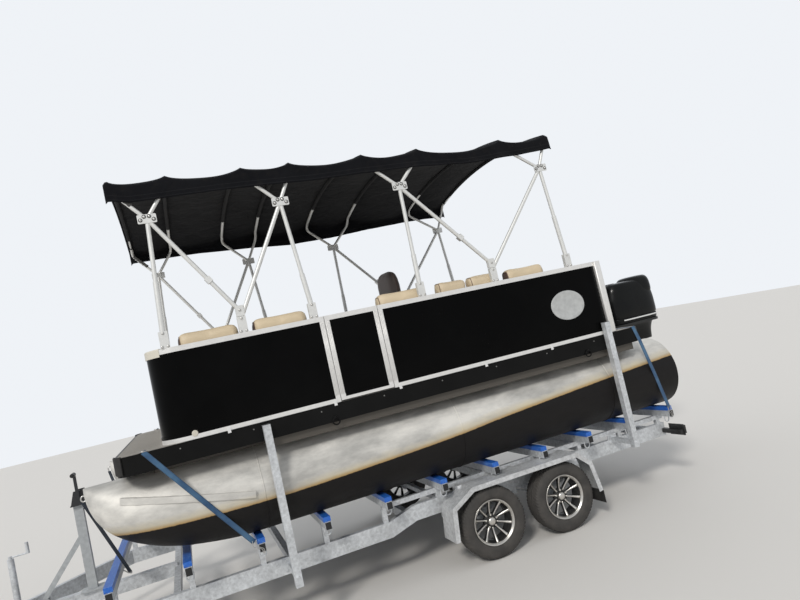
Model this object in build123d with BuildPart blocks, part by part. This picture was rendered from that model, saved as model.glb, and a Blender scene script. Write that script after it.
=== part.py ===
from build123d import *
from math import cos, radians, sin, sqrt
import os

# A pontoon boat with a soft canopy, resting on its tandem-axle boat trailer.
# X runs to the bow, Y to port and Z up; the ground is Z = 0.  All sizes in mm.

os.makedirs("parts", exist_ok=True)

# Pontoons: two welded aluminium tubes with raised noses
pontoon_r = 325.0
pontoon_y = 870.0
pontoon_z = 1068.0
pontoon_aft_x = -2750.0
shoulder_x = 1380.0
nose_tip_x = 2428.0
strake_h = 46.0
strake_out = 20.0
strake_z0 = 1070.0
strake_z1 = 1262.0

# Deck and what carries it
deck_top_z = 1565.0
deck_t = 25.0
deck_half_w = 1207.0
deck_front_x = 2152.0
deck_aft_x = -2417.0
deck_corner_r = 110.0
fascia_t = 18.0
fascia_h = 72.0
channel_h = 115.0
channel_w = 45.0
channel_web = 4.0
channel_count = 13
channel_inset = 160.0
riser_t = 5.0
riser_half_gap = 90.0
skirt_front_x = 805.0

# Fence: square tube rails, posts and thin black panels
rail = 38.0
fence_y = deck_half_w - 6.0
fence_front_x = deck_front_x - 319.0
fence_aft_x = deck_aft_x + 326.0
bow_corner_r = 190.0
aft_corner_r = 70.0
bottom_rail_z = deck_top_z
bottom_rail_h = 55.0
panel_h = 582.0
top_rail_h = 38.0
panel_t = 3.0
stud_w = 25.0
running_gap = 5.0
hinge_pin_r = 4.0
hinge_barrel_r = 8.0
pin_clearance = 0.05

# Gates: the opening of each, from its hinge side to its latch side
side_gate_front_x = 534.0
side_gate_rear_x = 88.0
bow_gate_half_w = 330.0
stern_gate_y0 = -720.0
stern_gate_y1 = -180.0

# Canopy and its folding frame
frame_y = fence_y - 5.0
tube_r = 14.0
strut_r = 16.0
sleeve_r = 20.0
foot_w = 64.0
foot_h = 120.0
plate_z = 3188.0
plate_t = 6.0
plate_w = 132.0
plate_h = 66.0
edge_z = 3488.0
crown_rise = 140.0
canopy_half_w = deck_half_w + fascia_t
canopy_front_x = 1900.0
canopy_aft_x = -1905.0
canopy_t = 3.0
valance_h = 153.0

# Outboard motor
transom_x = -2930.0
transom_top_z = 1400.0
tilt_x = -2975.0
tilt_z = 1455.0
steer_x = -3075.0
leg_x = -3190.0
cowl_aft_x = -3700.0
cowl_len = 690.0
cowl_w = 400.0
cowl_base_z = 1530.0
cowl_top_z = 2045.0
prop_z = 700.0
prop_r = 175.0
gearcase_r = 52.0

# Trailer
wheel_r = 295.0
tyre_w = 190.0
rim_r = 188.0
wheel_out_y = 1220.0
axle_xs = (-508.0, -1210.0)
rail_out_y = 950.0
rail_w = 50.0
rail_h = 125.0
rail_low_z = 372.0
rail_high_z = 438.0
rail_aft_x = -2650.0
rail_bend_x = 2400.0
coupling_x = 3700.0
bunk_half_len = 1150.0
bunk_w = 50.0
bunk_beam_h = 60.0
skid_t = 36.0
bunk_xs = (2354.0, 1840.0, 1323.0, 822.0, 319.0, -174.0, -664.0, -1153.0, -1640.0, -2115.0, -2592.0)
guard_out_y = 1248.0
guard_w = 225.0
guard_top_z = 636.0
spring_y = 925.0
guide_w = 55.0
guide_y = deck_half_w + fascia_t + guide_w / 2 + 7.5
jockey_x = 3120.0
jockey_y = 150.0
jockey_r = 100.0

skid_top_z = pontoon_z - pontoon_r - 0.3
bunk_under_z = skid_top_z - skid_t - bunk_beam_h
panel_z0 = bottom_rail_z + bottom_rail_h
panel_z1 = panel_z0 + panel_h
fence_top_z = panel_z1 + top_rail_h
deck_under_z = deck_top_z - deck_t
channel_z0 = deck_under_z - channel_h


def save(build, name, colour):
    """Label a finished piece, give it a plain colour and write its STEP file."""
    build.part.label = name
    build.part.color = Color(*colour)
    export_step(build.part, f"parts/{name}.step")


def block(x0, x1, y0, y1, z0, z1, mode=Mode.ADD):
    """A square-edged bar between two corners, in the part being built."""
    with Locations(((x0 + x1) / 2, (y0 + y1) / 2, (z0 + z1) / 2)):
        Box(abs(x1 - x0), abs(y1 - y0), abs(z1 - z0), mode=mode)


def rod(a, b, r, mode=Mode.ADD):
    """A round bar from point a to point b."""
    line = Vector(*b) - Vector(*a)
    with BuildSketch(Plane(origin=a, z_dir=line)) as end:
        Circle(r)
    extrude(end.sketch, amount=line.length, mode=mode)


def beam(a, b, w, h):
    """A rectangular bar from a to b, w across and h high, with upright sides."""
    line = Vector(*b) - Vector(*a)
    side = Vector(0, 0, 1).cross(line)
    with BuildSketch(Plane(origin=a, x_dir=side, z_dir=line)) as end:
        Rectangle(w, h)
    extrude(end.sketch, amount=line.length)


def side_plate(points, y0, y1, radius=0.0):
    """A plate with a side outline given as (x, z) points, between two values of Y."""
    with BuildSketch(Plane.XZ.offset(-y0)) as outline:
        with BuildLine():
            if radius:
                FilletPolyline(*points, close=True, radius=radius)
            else:
                Polyline(*points, close=True)
        make_face()
    extrude(outline.sketch, amount=y0 - y1)


ALUMINIUM = (0.78, 0.79, 0.80)
GALVANISED = (0.62, 0.64, 0.66)
BLACK = (0.05, 0.05, 0.06)
BEIGE = (0.80, 0.72, 0.58)
BROWN = (0.22, 0.17, 0.14)
BLUE = (0.10, 0.30, 0.75)
RUBBER = (0.07, 0.07, 0.07)

# Pontoon: a tube whose nose sweeps up to the tip.  Columns: x, half width, bottom z
nose_sections = (
    (shoulder_x - 80.0, pontoon_r, pontoon_z - pontoon_r),
    (shoulder_x - 40.0, pontoon_r, pontoon_z - pontoon_r),
    (shoulder_x, pontoon_r, pontoon_z - pontoon_r),
    (1600.0, 319.0, 762.0),
    (1827.0, 303.0, 801.0),
    (2090.0, 250.0, 890.0),
    (2290.0, 165.0, 1022.0),
    (2390.0, 85.0, 1165.0),
    (nose_tip_x, 22.0, 1335.0),
)
pontoon_top_z = pontoon_z + pontoon_r
strake_xs = (2180.0, 2090.0, 1960.0, 1827.0, 1700.0, 1600.0, 1480.0, 1380.0, 1300.0)


def skin_y(x, z):
    """Half width of the port tube's skin from the keel line, at x and height z."""
    for (xa, wa, za), (xb, wb, zb) in zip(nose_sections, nose_sections[1:]):
        if xa <= x <= xb:
            share = (x - xa) / (xb - xa)
            half_w, low = wa + share * (wb - wa), za + share * (zb - za)
            half_h = (pontoon_top_z - low) / 2
            return half_w * sqrt(1 - ((z - low - half_h) / half_h) ** 2)


strake_line = []
for x in strake_xs:
    z = strake_z0 + (x - strake_xs[-1]) * (strake_z1 - strake_z0) / (strake_xs[0] - strake_xs[-1])
    strake_line.append((x, pontoon_y + skin_y(x, z), z))
pontoons = []
for side, name in ((1, "pontoon_port"), (-1, "pontoon_starboard")):
    with BuildPart() as pontoon:
        with BuildSketch(Plane(origin=(pontoon_aft_x, side * pontoon_y, pontoon_z), z_dir=(1, 0, 0))):
            Circle(pontoon_r)
        extrude(amount=nose_sections[0][0] - pontoon_aft_x)
        for x, half_w, z0 in nose_sections:
            centre = (x, side * pontoon_y, (pontoon_top_z + z0) / 2)
            with BuildSketch(Plane(origin=centre, x_dir=(0, 1, 0), z_dir=(1, 0, 0))):
                Ellipse(half_w, (pontoon_top_z - z0) / 2)
        loft()
        for (x0, y0, z0), (x1, y1, z1) in zip(strake_line, strake_line[1:]):
            beam((x0 + 3.0, side * y0, z0), (x1 - 3.0, side * y1, z1), 2 * strake_out, strake_h)
    save(pontoon, name, ALUMINIUM)
    pontoons.append(pontoon.part)

# Under-deck frame: channels across the boat, welded to risers along each tube
with BuildPart() as under_deck:
    span = deck_front_x - deck_aft_x - 2 * channel_inset
    pitch = span / (channel_count - 1)
    for i in range(channel_count):
        x = deck_aft_x + channel_inset + i * pitch
        half = deck_half_w - fascia_t
        block(x, x + channel_web, -half, half, channel_z0, deck_under_z)
        for z in (channel_z0, deck_under_z - channel_web):
            block(x, x + channel_w, -half, half, z, z + channel_web)
    for side in (1, -1):
        for dy in (-riser_half_gap, riser_half_gap):
            y = side * pontoon_y + dy
            block(deck_aft_x + 60, shoulder_x + 560, y - riser_t / 2, y + riser_t / 2,
                  pontoon_top_z - 25, channel_z0)
        y = side * (deck_half_w - fascia_t)
        block(deck_aft_x + deck_corner_r, skirt_front_x, y, y + side * riser_t, channel_z0 - 60, deck_under_z)
    for tube in pontoons:
        add(tube, mode=Mode.SUBTRACT)
save(under_deck, "under_deck_frame", ALUMINIUM)

# Deck board with rounded bow corners, and the black edge extrusion round it
with BuildPart() as deck:
    with BuildSketch(Plane.XY.offset(deck_under_z)) as deck_plan:
        with BuildLine():
            FilletPolyline(
                (deck_aft_x, -deck_half_w), (deck_front_x, -deck_half_w),
                (deck_front_x, deck_half_w), (deck_aft_x, deck_half_w),
                close=True, radius=deck_corner_r)
        make_face()
    extrude(amount=deck_t)
save(deck, "deck", (0.55, 0.53, 0.50))

with BuildPart() as fascia:
    with BuildSketch(Plane.XY.offset(deck_top_z - 2 - fascia_h)):
        add(deck_plan.sketch.moved(Location((0, 0, -deck_under_z))))
        offset(amount=fascia_t, kind=Kind.ARC)
        add(deck_plan.sketch.moved(Location((0, 0, -deck_under_z))), mode=Mode.SUBTRACT)
    extrude(amount=fascia_h)
save(fascia, "deck_fascia", BLACK)


# Fence sections: the plan path of each, with its corner radii
gate_post = rail
side_front_end = side_gate_front_x + running_gap / 2
side_rear_end = side_gate_rear_x - running_gap / 2
bow_end = bow_gate_half_w + running_gap / 2
fence_paths = {
    "port_front": ([(side_front_end, fence_y), (fence_front_x, fence_y), (fence_front_x, bow_end)],
                   [bow_corner_r]),
    "port_rear": ([(side_rear_end, fence_y), (fence_aft_x, fence_y),
                   (fence_aft_x, stern_gate_y1 + running_gap / 2)], [aft_corner_r]),
    "starboard": ([(fence_front_x, -bow_end), (fence_front_x, -fence_y), (fence_aft_x, -fence_y),
                   (fence_aft_x, stern_gate_y0 - running_gap / 2)], [bow_corner_r, aft_corner_r]),
}


def fence_sweep(points, radii, z0, h, w, shift=0.0):
    """Sweep an upright strip, w thick and h high, along a fence path, shifted outboard."""
    with BuildLine(Plane.XY.offset(z0 + h / 2)) as route:
        FilletPolyline(*points, radius=radii)
    start = route.line @ 0
    along = route.line % 0
    outboard = Vector(0, 0, 1).cross(along)
    if outboard.dot(Vector(start.X, start.Y, 0)) < 0:
        outboard = -outboard
    with BuildSketch(Plane(origin=start + outboard * shift, x_dir=outboard, z_dir=along)) as strip:
        Rectangle(w, h)
    sweep(sections=strip.sketch, path=route.line)


def square_post(x, y, size=rail, z0=bottom_rail_z, z1=fence_top_z):
    """An upright square tube centred on x, y."""
    block(x - size / 2, x + size / 2, y - size / 2, y + size / 2, z0, z1)


def barrels(x, y, zs, length, hole=None):
    """Hinge barrels, one at each height, with a hole for the pin where it turns."""
    for z in zs:
        with BuildSketch(Plane(origin=(x, y, z - length / 2))) as ring:
            Circle(hinge_barrel_r)
            if hole:
                Circle(hole, mode=Mode.SUBTRACT)
        extrude(ring.sketch, amount=length)


# Gates.  Columns: name, hinge point on the inner face, direction to the latch side, width
hinge_in = rail / 2 + hinge_barrel_r
gates = (
    ("gate_port", (side_gate_front_x, fence_y - hinge_in), (-1, 0), side_gate_front_x - side_gate_rear_x),
    ("gate_bow", (fence_front_x - hinge_in, bow_gate_half_w), (0, -1), 2 * bow_gate_half_w),
    ("gate_stern", (fence_aft_x + hinge_in, stern_gate_y0), (0, 1), stern_gate_y1 - stern_gate_y0),
)
fixed_barrel_h = 24.0
hinge_zs = (bottom_rail_z + 130.0, fence_top_z - 130.0)
hinge_step = fixed_barrel_h + 1.0

stud_xs = {
    "port_front": (1160.0,),
    "port_rear": (-480.0, -1050.0, -1620.0),
    "starboard": (1160.0, 480.0, -200.0, -880.0, -1560.0),
}
gate_of = {"port_front": ("gate_port", "gate_bow"), "port_rear": (), "starboard": ("gate_stern",)}
stud_out = rail / 2 - panel_t - 2.0
for name, (points, radii) in fence_paths.items():
    side = -1 if name == "starboard" else 1
    with BuildPart() as frame:
        fence_sweep(points, radii, bottom_rail_z, bottom_rail_h, rail)
        fence_sweep(points, radii, panel_z1, top_rail_h, rail)
        for end, nxt in ((points[0], points[1]), (points[-1], points[-2])):
            run = Vector(nxt[0] - end[0], nxt[1] - end[1], 0).normalized()
            post = Vector(*end, 0) + run * (gate_post / 2)
            square_post(post.X, post.Y)
        for x in stud_xs[name]:
            inner = side * (fence_y - rail / 2)
            outer = side * (fence_y + stud_out - panel_t / 2)
            block(x - stud_w / 2, x + stud_w / 2, inner, outer, panel_z0, panel_z1)
        for gate, (hx, hy), (dx, dy), width in gates:
            if gate in gate_of[name]:
                for z in hinge_zs:
                    barrels(hx, hy, (z - hinge_step, z + hinge_step), fixed_barrel_h)
                    rod((hx, hy, z - hinge_step), (hx, hy, z + hinge_step), hinge_pin_r)
                    for zl in (z - hinge_step, z + hinge_step):
                        ax, ay = (hx - dx * 12, hy - dy * 12)
                        block(min(hx, ax) - abs(dy) * 4, max(hx, ax) + abs(dy) * 4,
                              min(hy, ay) - abs(dx) * 4, max(hy, ay) + abs(dx) * 4,
                              zl - fixed_barrel_h / 2, zl + fixed_barrel_h / 2)
                        bx, by = hx - dx * 10, hy - dy * 10
                        ox, oy = (0, side * hinge_barrel_r) if dx else (
                            hinge_barrel_r if hx > 0 else -hinge_barrel_r, 0)
                        block(bx - 4 if dx else min(bx, bx + ox), bx + 4 if dx else max(bx, bx + ox),
                              by - 4 if dy else min(by, by + oy), by + 4 if dy else max(by, by + oy),
                              zl - fixed_barrel_h / 2, zl + fixed_barrel_h / 2)
    save(frame, f"fence_frame_{name}", ALUMINIUM)

# Black sheet panels: one bent sheet between the end posts of each fence section
with BuildPart() as panels:
    for name, (points, radii) in fence_paths.items():
        trimmed = [Vector(*p) for p in points]
        trimmed[0] += (trimmed[1] - trimmed[0]).normalized() * gate_post
        trimmed[-1] += (trimmed[-2] - trimmed[-1]).normalized() * gate_post
        fence_sweep([(p.X, p.Y) for p in trimmed], radii, panel_z0, panel_h, panel_t, stud_out)
save(panels, "fence_panels", BLACK)

# Gates: welded square tube, a sheet panel, and hinge barrels that turn on the fence's pins
for name, (hx, hy), (dx, dy), width in gates:
    outx, outy = (0, 1) if dx else ((1, 0) if hx > 0 else (-1, 0))
    cx, cy = hx + outx * hinge_in, hy + outy * hinge_in

    def gate_block(a0, a1, t0, t1, z0, z1):
        """A bar in the gate: a along its width from the hinge, t across its thickness."""
        xs = sorted((cx + dx * a0 + outx * t0, cx + dx * a1 + outx * t1))
        ys = sorted((cy + dy * a0 + outy * t0, cy + dy * a1 + outy * t1))
        block(*xs, *ys, z0, z1)

    low = bottom_rail_z + 8.0
    a0, a1 = running_gap / 2, width - running_gap / 2
    with BuildPart() as gate_frame:
        gate_block(a0, a0 + rail, -rail / 2, rail / 2, low, fence_top_z)
        gate_block(a1 - rail, a1, -rail / 2, rail / 2, low, fence_top_z)
        gate_block(a0, a1, -rail / 2, rail / 2, low, panel_z0)
        gate_block(a0, a1, -rail / 2, rail / 2, panel_z1, fence_top_z)
        for z in hinge_zs:
            barrels(hx, hy, (z,), fixed_barrel_h, hinge_pin_r + pin_clearance)
            gate_block(hinge_pin_r + 1.0, a0 + 14.0, -hinge_in, -rail / 2,
                       z - fixed_barrel_h / 2, z + fixed_barrel_h / 2)
    save(gate_frame, f"{name}_frame", ALUMINIUM)
    with BuildPart() as gate_panel:
        gate_block(a0 + rail, a1 - rail, stud_out - panel_t / 2, stud_out + panel_t / 2, panel_z0, panel_z1)
    save(gate_panel, f"{name}_panel", BLACK)

# Seating: moulded bases on the deck, each with its upholstered seat and back cushions.
# Columns: name, side of the boat, aft x, front x, then the aft and front x of each back cushion
seat_inner_y = 640.0
seat_outer_y = fence_y - 36.0
base_h = 330.0
seat_cushion_t = 110.0
back_t = 120.0
back_top_z = fence_top_z + 62.0
cushion_gap = 6.0
soft_gap = 0.3
benches = (
    ("bow_port", 1, 590.0, 1590.0, ((600.0, 1030.0), (1120.0, 1580.0))),
    ("bow_starboard", -1, 590.0, 1590.0, ((600.0, 1030.0), (1120.0, 1580.0))),
    ("stern_port", 1, -1640.0, -440.0, ((-1600.0, -1180.0), (-1090.0, -785.0), (-770.0, -460.0))),
)
base_top_z = deck_top_z + base_h
seat_top_z = base_top_z + seat_cushion_t


def pad(x0, x1, y0, y1, z0, z1, r):
    """An upholstered block with rounded upright corners."""
    with BuildSketch(Plane.XY.offset(z0)) as outline:
        with Locations(((x0 + x1) / 2, (y0 + y1) / 2)):
            RectangleRounded(abs(x1 - x0), abs(y1 - y0), r)
    extrude(outline.sketch, amount=z1 - z0)


with BuildPart() as bases:
    for name, side, x0, x1, backs in benches:
        inner = side * (seat_inner_y + 45.0)
        outer = side * seat_outer_y
        with BuildSketch(Plane.XY.offset(deck_top_z)) as foot:
            with Locations(((x0 + x1) / 2, (inner + outer) / 2)):
                RectangleRounded(x1 - x0 - 20.0, abs(outer - inner), 40.0)
        extrude(foot.sketch, amount=base_h)
save(bases, "bench_bases", BROWN)
for group, members in (("bow_cushions", ("bow_port", "bow_starboard")), ("stern_cushions", ("stern_port",))):
    with BuildPart() as cushions:
        for name, side, x0, x1, backs in benches:
            if name in members:
                outer = side * (seat_outer_y - back_t - cushion_gap)
                pad(x0, x1, side * seat_inner_y, outer, base_top_z + soft_gap, seat_top_z, 28.0)
                for b0, b1 in backs:
                    pad(b0, b1, side * (seat_outer_y - back_t), side * seat_outer_y,
                        base_top_z + soft_gap, back_top_z, 28.0)
    save(cushions, group, BEIGE)

# Helm: a moulded console with a sloped dash and windscreen lip
console_x0, console_x1 = -60.0, 330.0
console_y0, console_y1 = 61.0 - fence_y, -560.0
console_top_z = 2320.0
with BuildPart() as console:
    side_plate(
        ((console_x1, deck_top_z), (console_x0 + 90, deck_top_z), (console_x0 + 50, console_top_z - 280),
         (console_x0, console_top_z - 240), (console_x0 + 90, console_top_z - 60),
         (console_x0 + 200, console_top_z), (console_x1 - 90, console_top_z),
         (console_x1 - 20, console_top_z - 90)),
        console_y1, console_y0)
    fillet(console.edges().filter_by(Axis.Y).group_by(Axis.Z)[-1], 25.0)
save(console, "helm_console", BROWN)

# Helm wheel: a rim on three spokes, on a shaft square to the sloped dash
helm_y = -800.0
dash_face = Plane(origin=(console_x0 + 45, helm_y, console_top_z - 150), x_dir=(0, 1, 0),
                  z_dir=(-180.0, 0, 90.0))
helm_ring_r = 160.0
helm_grip_r = 13.0
helm_reach = 95.0
with BuildPart() as helm_wheel:
    with BuildSketch(Plane(origin=dash_face.origin + dash_face.z_dir * 1.0, z_dir=dash_face.z_dir)) as hub:
        Circle(24.0)
    extrude(hub.sketch, amount=helm_reach + 12.0)
    centre = dash_face.origin + dash_face.z_dir * helm_reach
    for angle in (90.0, 210.0, 330.0):
        along = dash_face.x_dir * cos(radians(angle)) + dash_face.y_dir * sin(radians(angle))
        rod(tuple(centre + along * 15.0), tuple(centre + along * (helm_ring_r - 2.0)), 8.0)
    with BuildSketch(Plane(origin=centre + dash_face.x_dir * helm_ring_r, z_dir=dash_face.y_dir)) as grip:
        Circle(helm_grip_r)
    revolve(grip.sketch, axis=Axis(centre, dash_face.z_dir))
save(helm_wheel, "helm_wheel", BLACK)

# Helm chair: a pedestal on the deck and a bolstered bucket on it
chair_x, chair_y = -535.0, -770.0
chair_turn = 10.0
chair_seat_z = 1990.0
chair_back_z = 2740.0
with BuildPart() as pedestal:
    for z0, h, r in ((deck_top_z, 14.0, 150.0), (deck_top_z + 14.0, chair_seat_z - deck_top_z - 75, 36.0)):
        with BuildSketch(Plane.XY.offset(z0)) as disc:
            with Locations((chair_x, chair_y)):
                Circle(r)
        extrude(disc.sketch, amount=h)
    block(chair_x - 150, chair_x + 150, chair_y - 150, chair_y + 150, chair_seat_z - 61, chair_seat_z - 46)
save(pedestal, "helm_chair_pedestal", ALUMINIUM)
with BuildPart(mode=Mode.PRIVATE) as bucket:
    pad(chair_x - 230, chair_x + 230, chair_y - 225, chair_y + 225,
        chair_seat_z - 46 + soft_gap, chair_seat_z + 74, 32.0)
    pad(chair_x - 350, chair_x - 230 - soft_gap, chair_y - 220, chair_y + 220,
        chair_seat_z - 30, chair_back_z, 50.0)
with BuildPart() as chair:
    add(bucket.part.rotate(Axis((chair_x, chair_y, 0), (0, 0, 1)), chair_turn))
save(chair, "helm_chair_cushions", BEIGE)

# Canopy frame.  Feet on the top rail, plates under the cover, struts between them
foot_xs = (1701.0, 1144.0, 603.0, -328.0, -1030.0, -1812.0)
plate_xs = (1653.0, 673.0, -344.0, -1755.0)
bow_xs = (1868.0, 1476.0, 921.0, 543.0, -69.0, -576.0, -1396.0, -1871.0)
hub_h = 62.0
hub_w = 60.0
lock_w = 44.0
eye_z = fence_top_z + foot_h - 14.0
end_cut = 22.0
plate_seat = 1.5
# Columns: foot, 1 where the strut starts at the hub above it, plate, share of its length in a sleeve
struts = (
    (0, 0, 0, 0.45), (1, 1, 0, 0.0), (1, 0, 1, 0.0), (2, 0, 1, 0.3),
    (3, 0, 2, 0.3), (4, 1, 2, 0.0), (4, 0, 3, 0.0), (5, 0, 3, 0.45))
with BuildPart() as legs:
    for side in (1, -1):
        y = side * frame_y
        for x in foot_xs:
            block(x - foot_w / 2, x + foot_w / 2, y - 18, y + 18, fence_top_z, fence_top_z + 20)
            for dy in (-14.0, 14.0):
                block(x - foot_w / 2, x + foot_w / 2, y + dy - 4, y + dy + 4,
                      fence_top_z + 18, fence_top_z + foot_h)
            rod((x, y - 16, eye_z), (x, y + 16, eye_z), 9.0)
        for foot, high, plate, sleeve in struts:
            base = Vector(foot_xs[foot], y, eye_z + high * hub_h)
            head = Vector(plate_xs[plate], y, plate_z)
            cut = (base - head).normalized() * end_cut
            rod(tuple(base), tuple(head + cut), strut_r)
            if sleeve:
                rod(tuple(base), tuple(base + (head - base) * sleeve), sleeve_r)
            if high:
                middle = base + (head - base) * 0.34
                half = (head - base).normalized() * lock_w / 2
                beam(tuple(middle - half), tuple(middle + half), lock_w, lock_w)
        for foot in (1, 4):
            x = foot_xs[foot]
            rod((x, y, eye_z), (x, y, eye_z + hub_h), strut_r)
            block(x - hub_w / 2, x + hub_w / 2, y - 20, y + 20, fence_top_z + foot_h + 4, eye_z + hub_h + 36)
        for x in plate_xs:
            y0 = side * (frame_y + tube_r - plate_seat)
            side_plate(((x - plate_w / 2, plate_z - plate_h / 2), (x + plate_w / 2, plate_z - plate_h / 2),
                        (x + plate_w / 2, plate_z + plate_h / 2), (x - plate_w / 2, plate_z + plate_h / 2)),
                       y0 + side * plate_t, y0, radius=8.0)
save(legs, "canopy_legs", ALUMINIUM)

# Cover and bows share one arc from side to side
arch_r = (canopy_half_w ** 2 + crown_rise ** 2) / (2 * crown_rise)


def arch_z(y, drop):
    """Height of the arc at y, lowered square to itself by drop."""
    return edge_z + crown_rise - arch_r + sqrt((arch_r - drop) ** 2 - y ** 2)


# Canopy bows: two arms rise from each pair of plates and cross under the cover
bow_y = frame_y - plate_seat - 0.5
bow_drop = canopy_t + tube_r + soft_gap
bow_turn_y = 1130.0
bow_arc_ys = (753.0, 377.0, 0.0)
bow_arc_lift = 2.2
with BuildPart() as bows:
    for k, x in enumerate(bow_xs):
        px = plate_xs[k // 2]
        knee = Vector(x, bow_y, arch_z(bow_y, bow_drop) - 45)
        foot = Vector(px, bow_y, plate_z)
        foot += (knee - foot).normalized() * end_cut
        half_path = [(foot.X, foot.Y, foot.Z), (knee.X, knee.Y, knee.Z)]
        half_path.append((x, bow_turn_y, arch_z(bow_turn_y, bow_drop)))
        half_path += [(x, y, arch_z(y, bow_drop - bow_arc_lift)) for y in bow_arc_ys]
        other_half = [(ax, -ay, az) for ax, ay, az in reversed(half_path[:-1])]
        with BuildLine() as arch:
            FilletPolyline(*half_path, *other_half, radius=[60.0, 110.0] + [4400.0] * 5 + [110.0, 60.0])
        with BuildSketch(Plane(origin=arch.line @ 0, z_dir=arch.line % 0)) as ring:
            Circle(tube_r)
        sweep(sections=ring.sketch, path=arch.line)
save(bows, "canopy_bows", ALUMINIUM)

# Canopy cover: one thin sheet, arched from side to side, that turns down along both sides
low_z = edge_z - valance_h
with BuildPart() as cover:
    for inset in (0.0, canopy_t):
        corner = (canopy_half_w - inset, arch_z(canopy_half_w - inset, inset))
        with BuildSketch(Plane.YZ.offset(canopy_aft_x - inset)) as arch:
            with BuildLine():
                ThreePointArc((-corner[0], corner[1]), (0, arch_z(0, inset)), corner)
                Polyline(corner, (corner[0], low_z - inset), (-corner[0], low_z - inset),
                         (-corner[0], corner[1]))
            make_face()
        extrude(arch.sketch, amount=canopy_front_x - canopy_aft_x + 2 * inset,
                mode=Mode.SUBTRACT if inset else Mode.ADD)
save(cover, "canopy_cover", BLACK)

# Motor pod: a wedge box under the deck that carries the transom plate
pod_half_w = 330.0
pod_front_x = -1500.0
pod_low_z = 1075.0
with BuildPart() as pod:
    side_plate(
        ((transom_x, transom_top_z), (transom_x, pod_low_z), (transom_x + 420, pod_low_z),
         (pod_front_x, channel_z0 - 40), (pod_front_x, channel_z0), (deck_aft_x - 30, channel_z0),
         (deck_aft_x - 30, channel_z0 - 60), (transom_x + 60, channel_z0 - 60),
         (transom_x + 60, transom_top_z)), pod_half_w, -pod_half_w)
save(pod, "motor_pod", ALUMINIUM)

# Outboard: clamp bracket on the transom, then the part that tilts, then the part that steers
bracket_y = 95.0
tilt_tube_r = 18.0
with BuildPart() as clamp:
    for side in (1, -1):
        y = side * bracket_y
        side_plate(
            ((transom_x, 1180.0), (transom_x - 38, 1180.0), (tilt_x - 30, tilt_z - 20),
             (tilt_x - 30, tilt_z + 30), (tilt_x + 30, tilt_z + 34), (transom_x + 70, transom_top_z + 22),
             (transom_x + 95, transom_top_z), (transom_x, transom_top_z)), y + 11.0, y - 11.0)
    rod((tilt_x, -bracket_y - 25, tilt_z), (tilt_x, bracket_y + 25, tilt_z), tilt_tube_r)
save(clamp, "outboard_clamp", BLACK)

swivel_half_w = bracket_y - 11.0 - running_gap
steer_tube_r = 36.0
steer_post_r = 20.0
with BuildPart() as swivel:
    rod((tilt_x, -swivel_half_w, tilt_z), (tilt_x, swivel_half_w, tilt_z), 36.0)
    block(tilt_x - 30, tilt_x + 20, -swivel_half_w, swivel_half_w, tilt_z - 110, tilt_z)
    block(steer_x, tilt_x, -steer_tube_r + 4, steer_tube_r - 4, tilt_z - 250, tilt_z + 20)
    rod((steer_x, 0, tilt_z - 300), (steer_x, 0, tilt_z + 34), steer_tube_r)
    rod((tilt_x, -swivel_half_w - 1, tilt_z), (tilt_x, swivel_half_w + 1, tilt_z),
        tilt_tube_r + pin_clearance, mode=Mode.SUBTRACT)
    rod((steer_x, 0, tilt_z - 320), (steer_x, 0, tilt_z + 60), steer_post_r + pin_clearance,
        mode=Mode.SUBTRACT)
save(swivel, "outboard_swivel", BLACK)

# Leg: steering post and yokes, mid-section, anti-ventilation plate, gearcase and skeg
cav_z = prop_z + prop_r + 14.0 + running_gap
pan_t = 28.0
shaft_x = leg_x - 30.0
mid_x = shaft_x - 20.0
torpedo_aft = shaft_x - 150.0
prop_x = torpedo_aft - running_gap
upper_yoke_z = tilt_z + 36.0 + running_gap
lower_yoke_z = tilt_z - 300.0 - running_gap
with BuildPart() as leg:
    rod((steer_x, 0, lower_yoke_z - 20), (steer_x, 0, upper_yoke_z + 20), steer_post_r)
    for z0, z1 in ((lower_yoke_z - 45, lower_yoke_z), (upper_yoke_z, cowl_base_z - pan_t + 5)):
        block(mid_x, steer_x + 30, -50, 50, z0, z1)
    shapes = []
    for z, a, b in ((cav_z - 3, 100.0, 28.0), (lower_yoke_z - 60, 92.0, 55.0),
                    (cowl_base_z - pan_t + 5, 98.0, 80.0)):
        with BuildSketch(Plane.XY.offset(z)) as section:
            with Locations((mid_x, 0)):
                Ellipse(a, b)
        shapes.append(section.sketch)
    loft(shapes, ruled=True)
    with BuildSketch(Plane.XY.offset(cowl_base_z - pan_t)) as pan:
        with Locations((cowl_aft_x + cowl_len / 2, 0)):
            RectangleRounded(cowl_len - 34, cowl_w - 24, 140.0)
    extrude(pan.sketch, amount=pan_t - 0.5)
    with BuildSketch(Plane.XY.offset(cav_z - 8)) as plate:
        with Locations((shaft_x - 90, 0)):
            SlotOverall(400.0, 190.0)
    extrude(plate.sketch, amount=10.0)
    side_plate(
        ((shaft_x + 70, cav_z - 2), (shaft_x + 60, prop_z), (shaft_x + 5, prop_z - 165),
         (shaft_x - 75, prop_z - 165), (shaft_x - 108, prop_z), (shaft_x - 108, cav_z - 2)), 10.0, -10.0)
    with BuildSketch(Plane.XZ) as torpedo:
        with BuildLine():
            Polyline((shaft_x + 135, prop_z + 6), (shaft_x + 135, prop_z), (torpedo_aft, prop_z),
                     (torpedo_aft, prop_z + 44))
            ThreePointArc((torpedo_aft, prop_z + 44), (shaft_x, prop_z + gearcase_r),
                          (shaft_x + 135, prop_z + 6))
        make_face()
    revolve(torpedo.sketch, axis=Axis((shaft_x, 0, prop_z), (1, 0, 0)))
    rod((torpedo_aft + 20, 0, prop_z), (prop_x - 105, 0, prop_z), 10.0)
save(leg, "outboard_leg", BLACK)

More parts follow.
